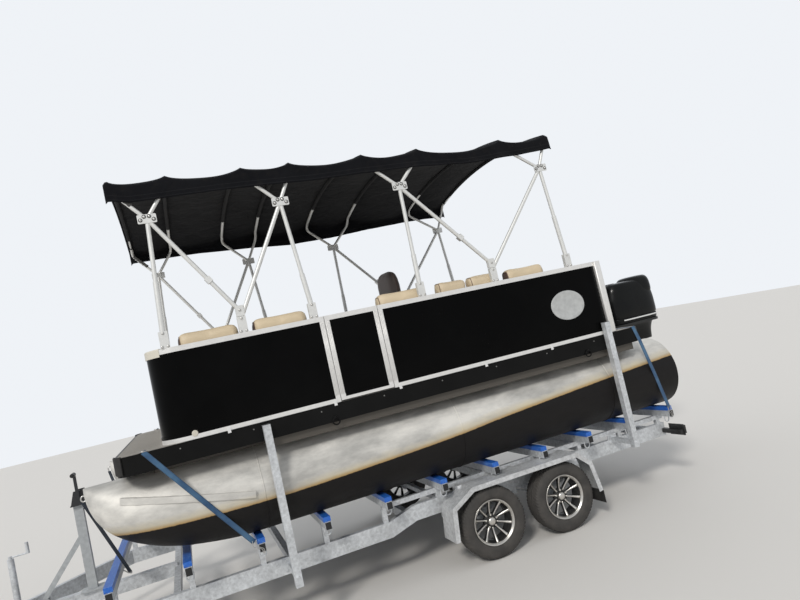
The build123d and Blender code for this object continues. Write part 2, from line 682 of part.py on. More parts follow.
# Cowl: a rounded moulded shell, open below, over the engine
with BuildPart() as cowl:
    # Columns: height, length, width, shift aft
    levels = ((cowl_base_z, cowl_len - 30, cowl_w - 20, 0.0),
              (cowl_base_z + 170, cowl_len, cowl_w, 0.0),
              (cowl_base_z + 400, cowl_len - 70, cowl_w - 60, 10.0),
              (cowl_top_z, cowl_len - 260, cowl_w - 190, 20.0))
    for wall in (0.0, 5.0):
        rings = []
        for z, length, width, shift in levels:
            with BuildSketch(Plane.XY.offset(z - (wall if z > cowl_base_z + 400 else 0))) as ring:
                with Locations((cowl_aft_x + cowl_len / 2 - shift, 0)):
                    RectangleRounded(length - 2 * wall, width - 2 * wall, 0.36 * width)
            rings.append(ring.sketch)
        loft(rings, mode=Mode.SUBTRACT if wall else Mode.ADD)
save(cowl, "outboard_cowl", BLACK)
with BuildPart() as engine:
    centre_x = cowl_aft_x + cowl_len / 2 - 10
    block(centre_x - 230, centre_x + 200, -135, 135, cowl_base_z, cowl_base_z + 350)
save(engine, "powerhead", GALVANISED)

# Propeller: three twisted blades on a tapered hub
blades = 3
hub_len = 100.0
# Columns: distance from the axis, chord, pitch angle, thickness
blade_sections = ((30.0, 80.0, 42.0, 9.0), (115.0, 130.0, 62.0, 7.0), (prop_r, 40.0, 72.0, 4.0))
with BuildPart() as propeller:
    with BuildSketch(Plane(origin=(prop_x, 0, prop_z), z_dir=(-1, 0, 0))) as front:
        Circle(42.0)
    extrude(front.sketch, amount=hub_len, taper=4.0)
    with BuildPart(mode=Mode.PRIVATE) as blade:
        stem = Plane(origin=(prop_x - hub_len / 2, 0, prop_z), x_dir=(1, 0, 0), z_dir=(0, 0, 1))
        shapes = []
        for out, chord, pitch, thick in blade_sections:
            with BuildSketch(stem.offset(out).rotated((0, 0, pitch))) as section:
                Rectangle(chord, thick)
            shapes.append(section.sketch)
        loft(shapes, ruled=True)
    for k in range(blades):
        add(blade.part.rotate(Axis((0, 0, prop_z), (1, 0, 0)), 360.0 / blades * k))
    rod((prop_x + 1, 0, prop_z), (prop_x - hub_len - 1, 0, prop_z), 10.0 + pin_clearance, mode=Mode.SUBTRACT)
save(propeller, "propeller", BLACK)

# Trailer chassis: two main rails that step down forward and run in to the drawbar
step_x0, step_x1 = 290.0, 60.0
front_x = rail_bend_x
nose_beam_x = coupling_x - 330.0
cross_xs = (-2560.0, -1900.0, -860.0, 120.0, 1100.0, 1960.0)
with BuildPart() as chassis:
    for side in (1, -1):
        y0, y1 = sorted((side * (rail_out_y - rail_w), side * rail_out_y))
        side_plate(
            ((rail_aft_x, rail_high_z), (step_x1, rail_high_z), (step_x0, rail_low_z), (front_x, rail_low_z),
             (front_x, rail_low_z + rail_h), (step_x0, rail_low_z + rail_h),
             (step_x1, rail_high_z + rail_h), (rail_aft_x, rail_high_z + rail_h)), y1, y0)
        mid_z = rail_low_z + rail_h / 2
        beam((front_x - 4, side * (rail_out_y - rail_w / 2), mid_z), (nose_beam_x, side * 42.0, mid_z),
             rail_w, rail_h)
    for x in cross_xs:
        z0 = (rail_low_z if x > step_x0 else rail_high_z) + 15.0
        block(x - 25, x + 25, -rail_out_y + 10, rail_out_y - 10, z0, z0 + 75)
    block(cross_xs[-1], coupling_x - 140, -37.5, 37.5, rail_low_z + 12, rail_low_z + rail_h - 12)
save(chassis, "trailer_chassis", GALVANISED)

# Coupling: a pressed body on the drawbar with a ball socket under its nose
ball_r = 25.5
socket_depth = 34.0
socket_x = coupling_x - 62.0
coupling_z = rail_low_z + rail_h - 12.0
with BuildPart() as coupling:
    with BuildSketch(Plane.XY.offset(coupling_z - 64)) as body:
        with BuildLine():
            Polyline((coupling_x - 138, -42), (socket_x, -42))
            ThreePointArc((socket_x, -42), (coupling_x, 0), (socket_x, 42))
            Polyline((socket_x, 42), (coupling_x - 138, 42), (coupling_x - 138, -42))
        make_face()
    extrude(body.sketch, amount=64.0)
    block(coupling_x - 260, coupling_x - 130, -42, 42, coupling_z, coupling_z + 12)
    block(coupling_x - 138, coupling_x - 120, -42, 42, coupling_z - 64, coupling_z + 12)
    block(coupling_x - 135, coupling_x - 60, -9, 9, coupling_z - 2, coupling_z + 46)
    with BuildSketch(Plane.XY.offset(coupling_z - 65)) as socket:
        with Locations((socket_x, 0)):
            Circle(ball_r)
    extrude(socket.sketch, amount=socket_depth + 1.0, mode=Mode.SUBTRACT)
save(coupling, "coupling", GALVANISED)

# Cross bunks: box beams on short posts, each with a blue plastic skid on top
support_z = bunk_under_z - 40.0
support_front_x = 330.0
with BuildPart() as bunks:
    for x in bunk_xs:
        block(x - bunk_w / 2, x + bunk_w / 2, -bunk_half_len, bunk_half_len, bunk_under_z,
              bunk_under_z + bunk_beam_h)
        for side in (1, -1):
            top = (rail_low_z if x > step_x0 else rail_high_z) + rail_h
            y = side * (rail_out_y - rail_w / 2)
            if x < support_front_x:
                top_z = support_z + 1
            else:
                top_z = bunk_under_z + 1
            if x < rail_bend_x:
                block(x - 20, x + 20, y - 20, y + 20, top, top_z)
    for side in (1, -1):
        y = side * (rail_out_y - rail_w / 2)
        block(rail_aft_x, support_front_x, y - 20, y + 20, support_z, bunk_under_z)
save(bunks, "bunk_frame", GALVANISED)
with BuildPart() as skids:
    for x in bunk_xs:
        across = Plane(origin=(x, -bunk_half_len + 12, 0), x_dir=(1, 0, 0), z_dir=(0, 1, 0))
        with BuildSketch(across) as ribbed:
            with Locations((0, -(skid_top_z - skid_t / 2))):
                Rectangle(bunk_w + 8, skid_t)
                with Locations((-(bunk_w + 8) / 4, skid_t / 2), ((bunk_w + 8) / 4, skid_t / 2)):
                    Rectangle(8.0, 8.0, mode=Mode.SUBTRACT)
        extrude(ribbed.sketch, amount=2 * (bunk_half_len - 12))
save(skids, "skids", BLUE)

# Axles: a square beam with a spindle and hub flange at each end, on two leaf springs
axle_z = wheel_r
spindle_r = 20.0
hub_face_y = 1105.0
spring_half = 290.0
leaf_t = 8.0
with BuildPart() as axles:
    for x in axle_xs:
        block(x - 22.5, x + 22.5, -1000, 1000, axle_z - 22.5, axle_z + 22.5)
        for side in (1, -1):
            rod((x, side * 995, axle_z), (x, side * (hub_face_y + 60), axle_z), spindle_r)
            rod((x, side * 1000, axle_z), (x, side * 1012, axle_z), 48.0)
            y = side * spring_y
            block(x - 35, x + 35, y - 28, y + 28, axle_z + 22.5, axle_z + 30)
save(axles, "axles", GALVANISED)
with BuildPart() as springs:
    for side in (1, -1):
        y0, y1 = side * (spring_y - 25), side * (spring_y + 25)
        lo, hi = sorted((y0, y1))
        for x in axle_xs:
            for leaf in range(4):
                half = spring_half - 55.0 * leaf
                z = axle_z + 30.0 + leaf_t * (3 - leaf)
                rise = 48.0 * (half / spring_half) ** 2
                with BuildSketch(Plane.XZ.offset(-hi)) as bar:
                    with BuildLine():
                        ThreePointArc((x - half, z + rise), (x, z), (x + half, z + rise))
                        Line((x + half, z + rise), (x + half, z + rise + leaf_t))
                        ThreePointArc((x + half, z + rise + leaf_t), (x, z + leaf_t),
                                      (x - half, z + rise + leaf_t))
                        Line((x - half, z + rise + leaf_t), (x - half, z + rise))
                    make_face()
                extrude(bar.sketch, amount=hi - lo)
        for x in (axle_xs[0] + spring_half, sum(axle_xs) / 2, axle_xs[1] - spring_half):
            block(x - 40, x + 40, lo - 3, hi + 3, axle_z + 88, rail_high_z)
save(springs, "leaf_springs", GALVANISED)

# Mudguards: folded plate over both wheels, with a turned-down lip, on brackets from the rail
guard_path = ((-120.0, 255.0), (-150.0, 520.0), (-360.0, guard_top_z), (-1400.0, guard_top_z),
              (-1530.0, 520.0), (-1578.0, 255.0))
guard_t = 3.0
guard_lip = 40.0
with BuildPart() as guards:
    for side in (1, -1):
        outer_y = side * guard_out_y
        inner_y = side * (guard_out_y - guard_w)
        for depth, y_in in ((guard_t, inner_y), (guard_lip, side * (guard_out_y - guard_t))):
            lo, hi = sorted((outer_y, y_in))
            with BuildSketch(Plane.XZ.offset(-hi)) as skin:
                with BuildLine():
                    run = FilletPolyline(*guard_path, radius=28.0, mode=Mode.PRIVATE)
                    offset(run, amount=depth, side=Side.LEFT, kind=Kind.INTERSECTION)
                make_face()
            extrude(skin.sketch, amount=hi - lo)
        for x in (-330.0, -860.0, -1380.0):
            lo, hi = sorted((side * rail_out_y, side * (guard_out_y - guard_w + 40)))
            block(x - 20, x + 20, lo, hi, guard_top_z - guard_t - 30, guard_top_z - guard_t)
            lo, hi = sorted((side * rail_out_y, side * (rail_out_y + 5)))
            block(x - 20, x + 20, lo, hi, rail_high_z + 40, guard_top_z - guard_t)
save(guards, "mudguards", GALVANISED)

# Wheels: a tyre and a ten-spoke rim, one pair at each end of each axle
spoke_count = 10
rim_w = 150.0
wall_y = tyre_w / 2
wall_r = -rim_r - 42
tread_y = wall_y - 26
tread_edge_r = -wheel_r + 4
for name, x, side in (("front_port", axle_xs[0], 1), ("front_starboard", axle_xs[0], -1),
                      ("rear_port", axle_xs[1], 1), ("rear_starboard", axle_xs[1], -1)):
    mid_y = side * (wheel_out_y - tyre_w / 2)
    turn = Axis((x, mid_y, axle_z), (0, 1, 0))
    with BuildPart() as tyre:
        with BuildSketch(Plane(origin=(x, mid_y, axle_z), x_dir=(0, side, 0), z_dir=(1, 0, 0))) as section:
            with BuildLine():
                Polyline((-rim_w / 2, -rim_r), (-wall_y, wall_r))
                ThreePointArc((-wall_y, wall_r), (-wall_y + 6, -wheel_r + 28), (-tread_y, tread_edge_r))
                ThreePointArc((-tread_y, tread_edge_r), (0, -wheel_r), (tread_y, tread_edge_r))
                ThreePointArc((tread_y, tread_edge_r), (wall_y - 6, -wheel_r + 28), (wall_y, wall_r))
                Polyline((wall_y, wall_r), (rim_w / 2, -rim_r), (-rim_w / 2, -rim_r))
            make_face()
        revolve(section.sketch, axis=turn)
    save(tyre, f"tyre_{name}", RUBBER)
    with BuildPart() as rim:
        with BuildSketch(Plane(origin=(x, mid_y, axle_z), x_dir=(0, side, 0), z_dir=(1, 0, 0))) as section:
            with BuildLine():
                Polyline((-rim_w / 2, -rim_r), (rim_w / 2, -rim_r), (rim_w / 2, -rim_r + 14),
                         (50, -rim_r + 20), (30, -rim_r + 34), (-40, -rim_r + 30),
                         (-rim_w / 2, -rim_r + 10), (-rim_w / 2, -rim_r))
            make_face()
        revolve(section.sketch, axis=turn)
        hub_y = side * hub_face_y
        out = (0, side, 0)
        with BuildSketch(Plane(origin=(x, hub_y, axle_z), z_dir=out)) as wheel_face:
            Circle(rim_r - 16)
            Circle(62, mode=Mode.SUBTRACT)
            with PolarLocations(0, spoke_count):
                with Locations(((rim_r + 20) / 2, 0)):
                    Rectangle(rim_r - 56, 26.0)
        extrude(wheel_face.sketch, amount=22.0)
        rod((x, side * 1018, axle_z), (x, side * (hub_face_y + 40), axle_z), 62.0)
        rod((x, side * 1000, axle_z), (x, side * (hub_face_y + 61), axle_z), spindle_r + pin_clearance,
            mode=Mode.SUBTRACT)
    save(rim, f"rim_{name}", BLACK)

# Mud flaps hang behind the rear wheels
with BuildPart() as flaps:
    for side in (1, -1):
        lo, hi = sorted((side * (guard_out_y - guard_w + 6), side * (guard_out_y - 6)))
        block(-1583.3, -1578.8, lo, hi, 140.0, 265.0)
save(flaps, "mud_flaps", RUBBER)

# Guide posts: upright square tubes outboard of the deck, on outriggers from the main rails
# Columns: x, bottom z, top z, outrigger z
guide_posts = ((1133.0, 362.0, 1542.0, 415.0), (-2012.0, 520.0, 1672.0, 545.0))
with BuildPart() as guides:
    for x, z0, z1, arm_z in guide_posts:
        for side in (1, -1):
            lo, hi = sorted((side * (guide_y - guide_w / 2), side * (guide_y + guide_w / 2)))
            block(x - guide_w / 2, x + guide_w / 2, lo, hi, z0, z1)
            lo, hi = sorted((side * rail_out_y, side * (guide_y - guide_w / 2 + 2)))
            block(x - 20, x + 20, lo, hi, arm_z, arm_z + 40)
            lo, hi = sorted((side * rail_out_y, side * (rail_out_y + 6)))
            block(x - 50, x + 50, lo, hi, arm_z - 20, arm_z + 75)
save(guides, "guide_posts", GALVANISED)

# Winch post: an upright on the drawbar with a braced foot and a hand winch on its top
winch_x = bunk_xs[0] + 266.0
winch_z = 1180.0
drawbar_top = rail_low_z + rail_h - 12.0
with BuildPart() as winch_post:
    block(winch_x - 35, winch_x + 35, -30, 30, drawbar_top + 6, winch_z)
    block(winch_x - 90, winch_x + 90, -70, 70, drawbar_top, drawbar_top + 8)
    block(winch_x + 320, winch_x + 410, -37, 37, drawbar_top, drawbar_top + 34)
    beam((winch_x + 360, 0, drawbar_top + 30), (winch_x + 20, 0, winch_z - 260), 50.0, 40.0)
    block(winch_x - 90, winch_x + 50, -60, 60, winch_z, winch_z + 8)
    for y in (-60, 54):
        side_plate(((winch_x - 85, winch_z + 6), (winch_x + 45, winch_z + 6), (winch_x + 10, winch_z + 120),
                    (winch_x - 60, winch_z + 120)), y + 6, y)
    rod((winch_x - 25, -58, winch_z + 70), (winch_x - 25, 58, winch_z + 70), 26.0)
    rod((winch_x - 25, 58, winch_z + 70), (winch_x - 25, 100, winch_z + 70), 9.0)
    block(winch_x - 37, winch_x - 13, 92, 100, winch_z + 60, winch_z + 270)
    rod((winch_x - 25, 94, winch_z + 260), (winch_x - 25, 190, winch_z + 260), 15.0)
save(winch_post, "winch_post", GALVANISED)

# Jockey leg beside the drawbar: clamp, outer tube with its crank, and inner tube
jockey_tube_r = 24.0
jockey_inner_r = 20.0
jockey_low_z = 2 * jockey_r + 62.0
jockey_top_z = 930.0
stem_r = 9.0
with BuildPart() as jockey_leg:
    rod((jockey_x, jockey_y, jockey_low_z + 60), (jockey_x, jockey_y, jockey_top_z), jockey_tube_r)
    rod((jockey_x, jockey_y, jockey_low_z), (jockey_x, jockey_y, jockey_low_z + 70), jockey_inner_r)
    block(jockey_x - 30, jockey_x + 30, 37.5, jockey_y, rail_low_z + 30, rail_low_z + 90)
    rod((jockey_x, jockey_y, jockey_top_z - 5), (jockey_x, jockey_y, jockey_top_z + 22), 14.0)
    rod((jockey_x, jockey_y, jockey_top_z + 14), (jockey_x - 130, jockey_y, jockey_top_z + 14), 7.0)
    rod((jockey_x - 124, jockey_y, jockey_top_z + 10), (jockey_x - 124, jockey_y, jockey_top_z + 96), 13.0)
    rod((jockey_x, jockey_y, jockey_low_z - 1), (jockey_x, jockey_y, jockey_low_z + 60),
        stem_r + pin_clearance, mode=Mode.SUBTRACT)
save(jockey_leg, "jockey_leg", GALVANISED)

# Jockey fork swivels on its stem and trails the wheel a little
jockey_trail = 45.0
jockey_wheel_x = jockey_x - jockey_trail
jockey_w = 60.0
fork_t = 5.0
with BuildPart() as fork:
    crown_z = jockey_low_z - running_gap
    rod((jockey_x, jockey_y, crown_z - 3), (jockey_x, jockey_y, jockey_low_z + 55), stem_r)
    span = jockey_w / 2 + running_gap
    block(jockey_x - 60, jockey_x + 26, jockey_y - span - fork_t, jockey_y + span + fork_t,
          crown_z - 8, crown_z)
    for y0 in (jockey_y - span - fork_t, jockey_y + span):
        side_plate(((jockey_x - 60, crown_z - 2), (jockey_wheel_x - 22, jockey_r - 12),
                    (jockey_wheel_x + 22, jockey_r - 12), (jockey_x + 26, crown_z - 2)), y0 + fork_t, y0)
    rod((jockey_wheel_x, jockey_y - span - fork_t - 4, jockey_r),
        (jockey_wheel_x, jockey_y + span + fork_t + 4, jockey_r), 8.0)
save(fork, "jockey_fork", GALVANISED)
with BuildPart() as roller:
    with BuildSketch(Plane(origin=(jockey_wheel_x, jockey_y, jockey_r), x_dir=(0, 1, 0),
                           z_dir=(1, 0, 0))) as section:
        with BuildLine():
            half = jockey_w / 2
            Polyline((-half, -8 - pin_clearance), (-half, -30), (-half + 10, -30), (-half + 10, -60),
                     (-half, -62), (-half, -jockey_r + 14))
            ThreePointArc((-half, -jockey_r + 14), (0, -jockey_r), (half, -jockey_r + 14))
            Polyline((half, -jockey_r + 14), (half, -62), (half - 10, -60), (half - 10, -30), (half, -30),
                     (half, -8 - pin_clearance), (-half, -8 - pin_clearance))
        make_face()
    revolve(section.sketch, axis=Axis((jockey_wheel_x, jockey_y, jockey_r), (0, 1, 0)))
save(roller, "jockey_wheel", RUBBER)

# Rear lamps on upright plates at the ends of the last cross-member
with BuildPart() as lamps:
    for side in (1, -1):
        lo, hi = sorted((side * rail_out_y, side * 1190.0))
        block(rail_aft_x, rail_aft_x + 40, lo, hi, 470.0, 510.0)
        lo, hi = sorted((side * 1010.0, side * 1200.0))
        block(rail_aft_x - 6, rail_aft_x, lo, hi, 450.0, 555.0)
        lo, hi = sorted((side * 1022.0, side * 1188.0))
        block(rail_aft_x - 34, rail_aft_x - 6, lo, hi, 464.0, 541.0)
save(lamps, "rear_lamps", (0.6, 0.05, 0.05))

# Tie-down straps: flat webbing over the deck, down to a bunk end on each side.
# Columns: x where it crosses the deck, x of the bunk
strap_w = 48.0
strap_t = 3.0
straps = ((1975.0, bunk_xs[2]), (-2330.0, bunk_xs[-1]))
with BuildPart() as tie_straps:
    for deck_x, bunk_x in straps:
        edge_y = deck_half_w + fascia_t
        block(deck_x - strap_w / 2, deck_x + strap_w / 2, -edge_y - strap_t, edge_y + strap_t,
              deck_top_z + 0.3, deck_top_z + 0.3 + strap_t)
        # Down over the deck's edge, past the side of the tube and in to the bunk's end
        heights = (deck_top_z + 1.0, deck_top_z - fascia_h - 14.0, pontoon_z, bunk_under_z + 20.0)
        reach = (edge_y + 2.0, edge_y + 2.0, pontoon_y + pontoon_r + 4.0, bunk_half_len + 3.5)
        for side in (1, -1):
            points = []
            for y, z in zip(reach, heights):
                share = (heights[0] - z) / (heights[0] - heights[-1])
                points.append(Vector(deck_x + share * (bunk_x - deck_x), side * y, z))
            for top, low in zip(points, points[1:]):
                run = low - top
                across = Vector(1, 0, 0) - run * (run.X / run.length ** 2)
                with BuildSketch(Plane(origin=top, x_dir=across, z_dir=run)) as web:
                    Rectangle(strap_w, strap_t)
                extrude(web.sketch, amount=run.length)
save(tie_straps, "tie_straps", BLUE)
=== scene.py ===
from math import cos, radians, sin

import bmesh
import bpy
import numpy as np
from mathutils import Matrix, Vector
from mathutils.bvhtree import BVHTree

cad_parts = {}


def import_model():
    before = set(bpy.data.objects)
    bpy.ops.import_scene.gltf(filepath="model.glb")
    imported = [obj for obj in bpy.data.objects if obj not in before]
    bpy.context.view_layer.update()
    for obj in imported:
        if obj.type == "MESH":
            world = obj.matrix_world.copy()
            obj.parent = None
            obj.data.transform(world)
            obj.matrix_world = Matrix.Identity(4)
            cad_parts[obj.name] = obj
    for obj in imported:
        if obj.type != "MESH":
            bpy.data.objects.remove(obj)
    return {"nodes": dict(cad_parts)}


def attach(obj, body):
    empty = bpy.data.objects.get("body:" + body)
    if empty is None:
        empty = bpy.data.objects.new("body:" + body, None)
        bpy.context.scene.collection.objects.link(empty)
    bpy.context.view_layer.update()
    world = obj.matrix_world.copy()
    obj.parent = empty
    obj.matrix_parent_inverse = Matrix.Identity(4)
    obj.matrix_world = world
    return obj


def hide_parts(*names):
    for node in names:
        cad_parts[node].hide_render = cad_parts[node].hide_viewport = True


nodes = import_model()["nodes"]
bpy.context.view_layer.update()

# Camera
# It stands off the port side at head height, turned a little towards the stern
# and rolled, as the photograph was held.
lens_px, photo_w, film_w = 612.0, 800.0, 36.0
eye_place = (1.650, 5.883, 1.942)
yaw, pitch, roll = radians(20.77), radians(3.478), radians(12.735)
look = Vector((-sin(yaw) * cos(pitch), -cos(yaw) * cos(pitch), sin(pitch)))
level = look.cross(Vector((0, 0, 1))).normalized()
plumb = level.cross(look)
right = cos(roll) * level - sin(roll) * plumb
upward = sin(roll) * level + cos(roll) * plumb


def placed(name, data):
    """A new object at the origin, linked to the scene."""
    made = bpy.data.objects.new(name, data)
    bpy.context.scene.collection.objects.link(made)
    return made


camera_data = bpy.data.cameras.new("camera")
camera_data.sensor_width = film_w
camera_data.lens = film_w * lens_px / photo_w
camera_data.clip_end = 200.0
camera = placed("camera", camera_data)
turned_to = Matrix((right, upward, -look)).transposed().to_4x4()
camera.matrix_world = Matrix.Translation(eye_place) @ turned_to
bpy.context.scene.camera = camera

# Stage
# A pale floor and a plain pale surround, lit by the world and two broad soft lamps.
# The surround is nearly white to the camera and through clear pieces, and dimmer as light.


class Finish:
    """One surface finish: a material, with short names for the nodes that feed its coat."""

    coat_names = {"colour": "Base Color", "rough": "Roughness", "metal": "Metallic", "relief": "Normal",
                  "gleam": "Specular IOR Level", "sheen": "Sheen Weight", "sheen_rough": "Sheen Roughness",
                  "lacquer": "Coat Weight", "lacquer_rough": "Coat Roughness"}

    def __init__(self, name):
        self.made = bpy.data.materials.new(name)
        self.made.use_nodes = True
        self.tree = self.made.node_tree

    def fill(self, target, inputs):
        """Each input named is linked to a socket or set to a value; a colour of three gets its one."""
        for key, value in inputs.items():
            socket = target.inputs[key]
            if isinstance(value, bpy.types.NodeSocket):
                self.tree.links.new(value, socket)
            else:
                socket.default_value = (*value, 1) if socket.type == "RGBA" else value

    def node(self, kind, inputs, out=0, **settings):
        """A new node with its settings and inputs, given back as one of its outputs."""
        new = self.tree.nodes.new("ShaderNode" + kind)
        for key, value in settings.items():
            setattr(new, key, value)
        self.fill(new, inputs)
        return new.outputs[out]

    def done(self, **inputs):
        """Feeds the coat, and gives back the finished material."""
        self.fill(self.tree.nodes["Principled BSDF"], {self.coat_names[key]: v for key, v in inputs.items()})
        return self.made

    def place(self, stretch=None):
        """Metres on the piece, with each axis stretched by its share."""
        spot = self.node("TexCoord", {}, "Object")
        return self.node("Mapping", {"Vector": spot, "Scale": stretch}) if stretch else spot

    def axis(self, name, at=None):
        """One of the three parts of a place."""
        return self.node("SeparateXYZ", {"Vector": self.place() if at is None else at}, name)

    def noise(self, scale, detail=2.0, rough=0.5, at=None, warp=0.0):
        """A cloud with so many lumps to the metre, each broken up so many times."""
        return self.node("TexNoise", {"Vector": self.place() if at is None else at, "Scale": scale,
                                      "Detail": detail, "Roughness": rough, "Distortion": warp})

    def cells(self, scale, out):
        """A pattern of cells: the distance from each middle, or a colour of its own for each."""
        return self.node("TexVoronoi", {"Vector": self.place(), "Scale": scale}, out)

    def ribs(self, scale, along, at=None, warp=0.0):
        """A wave of ribs, counted along an axis."""
        return self.node("TexWave", {"Vector": self.place() if at is None else at, "Scale": scale,
                                     "Distortion": warp}, "Fac", bands_direction=along)

    def spread(self, value, span=(0.0, 1.0), onto=(0.0, 1.0)):
        """The span of a value laid evenly onto another span, and cut off at its ends."""
        return self.node("MapRange", {"Value": value, "From Min": span[0], "From Max": span[1],
                                      "To Min": onto[0], "To Max": onto[1]})

    def reckon(self, operation, first, second=0.5):
        """One operation on two values."""
        return self.node("Math", {0: first, 1: second}, operation=operation)

    def blend(self, share, first, second):
        """A colour between two, by a share."""
        return self.node("Mix", {0: share, 6: first, 7: second}, 2, data_type="RGBA")

    def ramp(self, share, first, second):
        """A colour between two stops of (share, colour)."""
        shown = self.node("ValToRGB", {"Fac": share})
        for stop, (position, colour) in zip(shown.node.color_ramp.elements, (first, second)):
            stop.position, stop.color = position, (*colour, 1)
        return shown

    def bump(self, height, strength, depth, over=None):
        """Relief so many metres deep at full strength, on top of another relief if there is one."""
        under = {} if over is None else {"Normal": over}
        return self.node("Bump", {"Height": height, "Strength": strength, "Distance": depth, **under})


half_floor = 30
floor_mesh = bpy.data.meshes.new("floor")
floor_mesh.from_pydata([(x * half_floor, y * half_floor, 0) for x, y in ((-1, -1), (1, -1), (1, 1), (-1, 1))],
                       [], [(0, 1, 2, 3)])
floor_mesh.materials.append(Finish("floor_paint").done(colour=(0.72, 0.70, 0.67), rough=0.9, gleam=0.1))
placed("floor", floor_mesh)

world = bpy.data.worlds.new("surround")
bpy.context.scene.world = world
world.use_nodes = True
sky = world.node_tree
background = sky.nodes["Background"]
paths, seen, power = (sky.nodes.new("ShaderNode" + kind) for kind in ("LightPath", "Math", "MapRange"))
seen.operation = "MAXIMUM"
power.inputs["To Min"].default_value, power.inputs["To Max"].default_value = 0.62, 0.93
background.inputs["Color"].default_value = (0.93, 0.96, 1.0, 1)
for source, target in ((paths.outputs["Is Camera Ray"], seen.inputs[0]),
                       (paths.outputs["Is Transmission Ray"], seen.inputs[1]),
                       (seen.outputs[0], power.inputs["Value"]),
                       (power.outputs[0], background.inputs["Strength"])):
    sky.links.new(source, target)

for name, energy, angle, aim, colour in (("key", 1.6, 12.0, (-0.50, -0.62, -0.62), (1.0, 0.97, 0.92)),
                                         ("fill", 0.35, 60.0, (0.6, 0.5, -0.5), (0.9, 0.95, 1.0))):
    lamp_data = bpy.data.lights.new(name, "SUN")
    lamp_data.energy, lamp_data.angle, lamp_data.color = energy, radians(angle), colour
    placed(name, lamp_data).rotation_euler = Vector(aim).to_track_quat("-Z", "Y").to_euler()
bpy.context.scene.view_settings.view_transform = "Standard"

# Chassis and running gear
# Hot-dip galvanised steel box section, welded before dipping.  The zinc is a mottled
# light grey: fine cells of uneven brightness, under a slow cloud that also dulls it.


def tint(colour, by):
    """A colour made darker or lighter by a share."""
    return tuple(min(1.0, c * by) for c in colour)


def galvanised(name, grey=(0.60, 0.62, 0.64), rough=0.50):
    """Zinc: the brightness of small cells, a slow cloud and a fine speck are added up."""
    coat = Finish(name)
    spangle = coat.blend(0.78, coat.cells(55.0, "Color"), (0.5, 0.5, 0.5))
    cloud, speck = coat.noise(3.2, 5.0, 0.62), coat.noise(38.0, 4.0)
    bright = coat.reckon("ADD", coat.reckon("ADD", coat.node("RGBToBW", {"Color": spangle}), cloud), speck)
    mottle = coat.ramp(coat.spread(bright, (1.05, 1.95)), (0.0, tint(grey, 0.62)), (1.0, tint(grey, 1.35)))
    return coat.done(colour=mottle, metal=0.40,
                     rough=coat.spread(cloud, (0.3, 0.7), (rough - 0.1, rough + 0.14)),
                     relief=coat.bump(speck, 0.12, 0.002))


def dress(material, *names):
    """Puts a material on the frame's own nodes."""
    for name in names:
        materials = nodes[name].data.materials
        materials.clear()
        materials.append(material)


zinc = galvanised("zinc")
dress(zinc, "trailer_chassis", "coupling", "bunk_frame", "axles", "leaf_springs", "guide_posts", "winch_post",
      "jockey_leg", "jockey_fork")

# Hub and spring fittings
# Two U-bolts clamp each leaf spring under its axle and a nut closes every hanger.
# All are zinc-plated steel, turned or bent from round bar.


def quads(grid, around=False, along=False, ends=False):
    """Points and faces of a skin over a grid: rows run along and columns around, each may
    close on itself, and ends fills the first and last rows with one flat face."""
    grid = np.asarray(grid, float)
    rows, cols = grid.shape[:2]
    index = np.arange(rows * cols).reshape(rows, cols)
    if around:
        index = np.hstack([index, index[:, :1]])
    if along:
        index = np.vstack([index, index[:1]])
    corners = [index[:-1, :-1], index[:-1, 1:], index[1:, 1:], index[1:, :-1]]
    faces = np.stack(corners, -1).reshape(-1, 4).tolist()
    if ends:
        faces += [index[0, :cols][::-1].tolist(), index[-1, :cols].tolist()]
    return grid.reshape(-1, 3), faces


def face_out(mesh, merge=0.0):
    """Every face turned to point outwards, after points nearer than merge are made one."""
    shell = bmesh.new()
    shell.from_mesh(mesh)
    if merge:
        bmesh.ops.remove_doubles(shell, verts=shell.verts, dist=merge)
    bmesh.ops.recalc_face_normals(shell, faces=shell.faces)
    shell.to_mesh(mesh)
    shell.free()


def made_of(name, parts, material, body="root", bevel=0.0, smooth=True):
    """One object from several skins: their points are stacked and their faces renumbered."""
    points, faces, start = [], [], 0
    for some, cells in parts:
        points.append(some)
        faces += [[start + k for k in cell] for cell in cells]
        start += len(some)
    mesh = bpy.data.meshes.new(name)
    mesh.from_pydata(np.vstack(points).tolist(), [], faces)
    face_out(mesh)
    mesh.polygons.foreach_set("use_smooth", [smooth and not bevel] * len(mesh.polygons))
    mesh.materials.append(material)
    made = placed(name, mesh)
    if bevel:
        edge = made.modifiers.new("worn_edges", "BEVEL")
        edge.width, edge.segments, edge.limit_method = bevel, 2, "ANGLE"
    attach(made, body)
    return made


def fair(points, count):
    """A smooth run through the points: on each stretch a cubic set by its ends and neighbours."""
    run = np.asarray(points, float)
    run = np.vstack([2 * run[0] - run[1], run, 2 * run[-1] - run[-2]])
    t = np.linspace(0, len(run) - 3 - 1e-9, count)
    k = t.astype(int)
    u = (t - k)[:, None]
    a, b, c, d = run[k], run[k + 1], run[k + 2], run[k + 3]
    return 0.5 * (2 * b + (c - a) * u + (2 * a - 5 * b + 4 * c - d) * u**2 + (3 * b - a - 3 * c + d) * u**3)


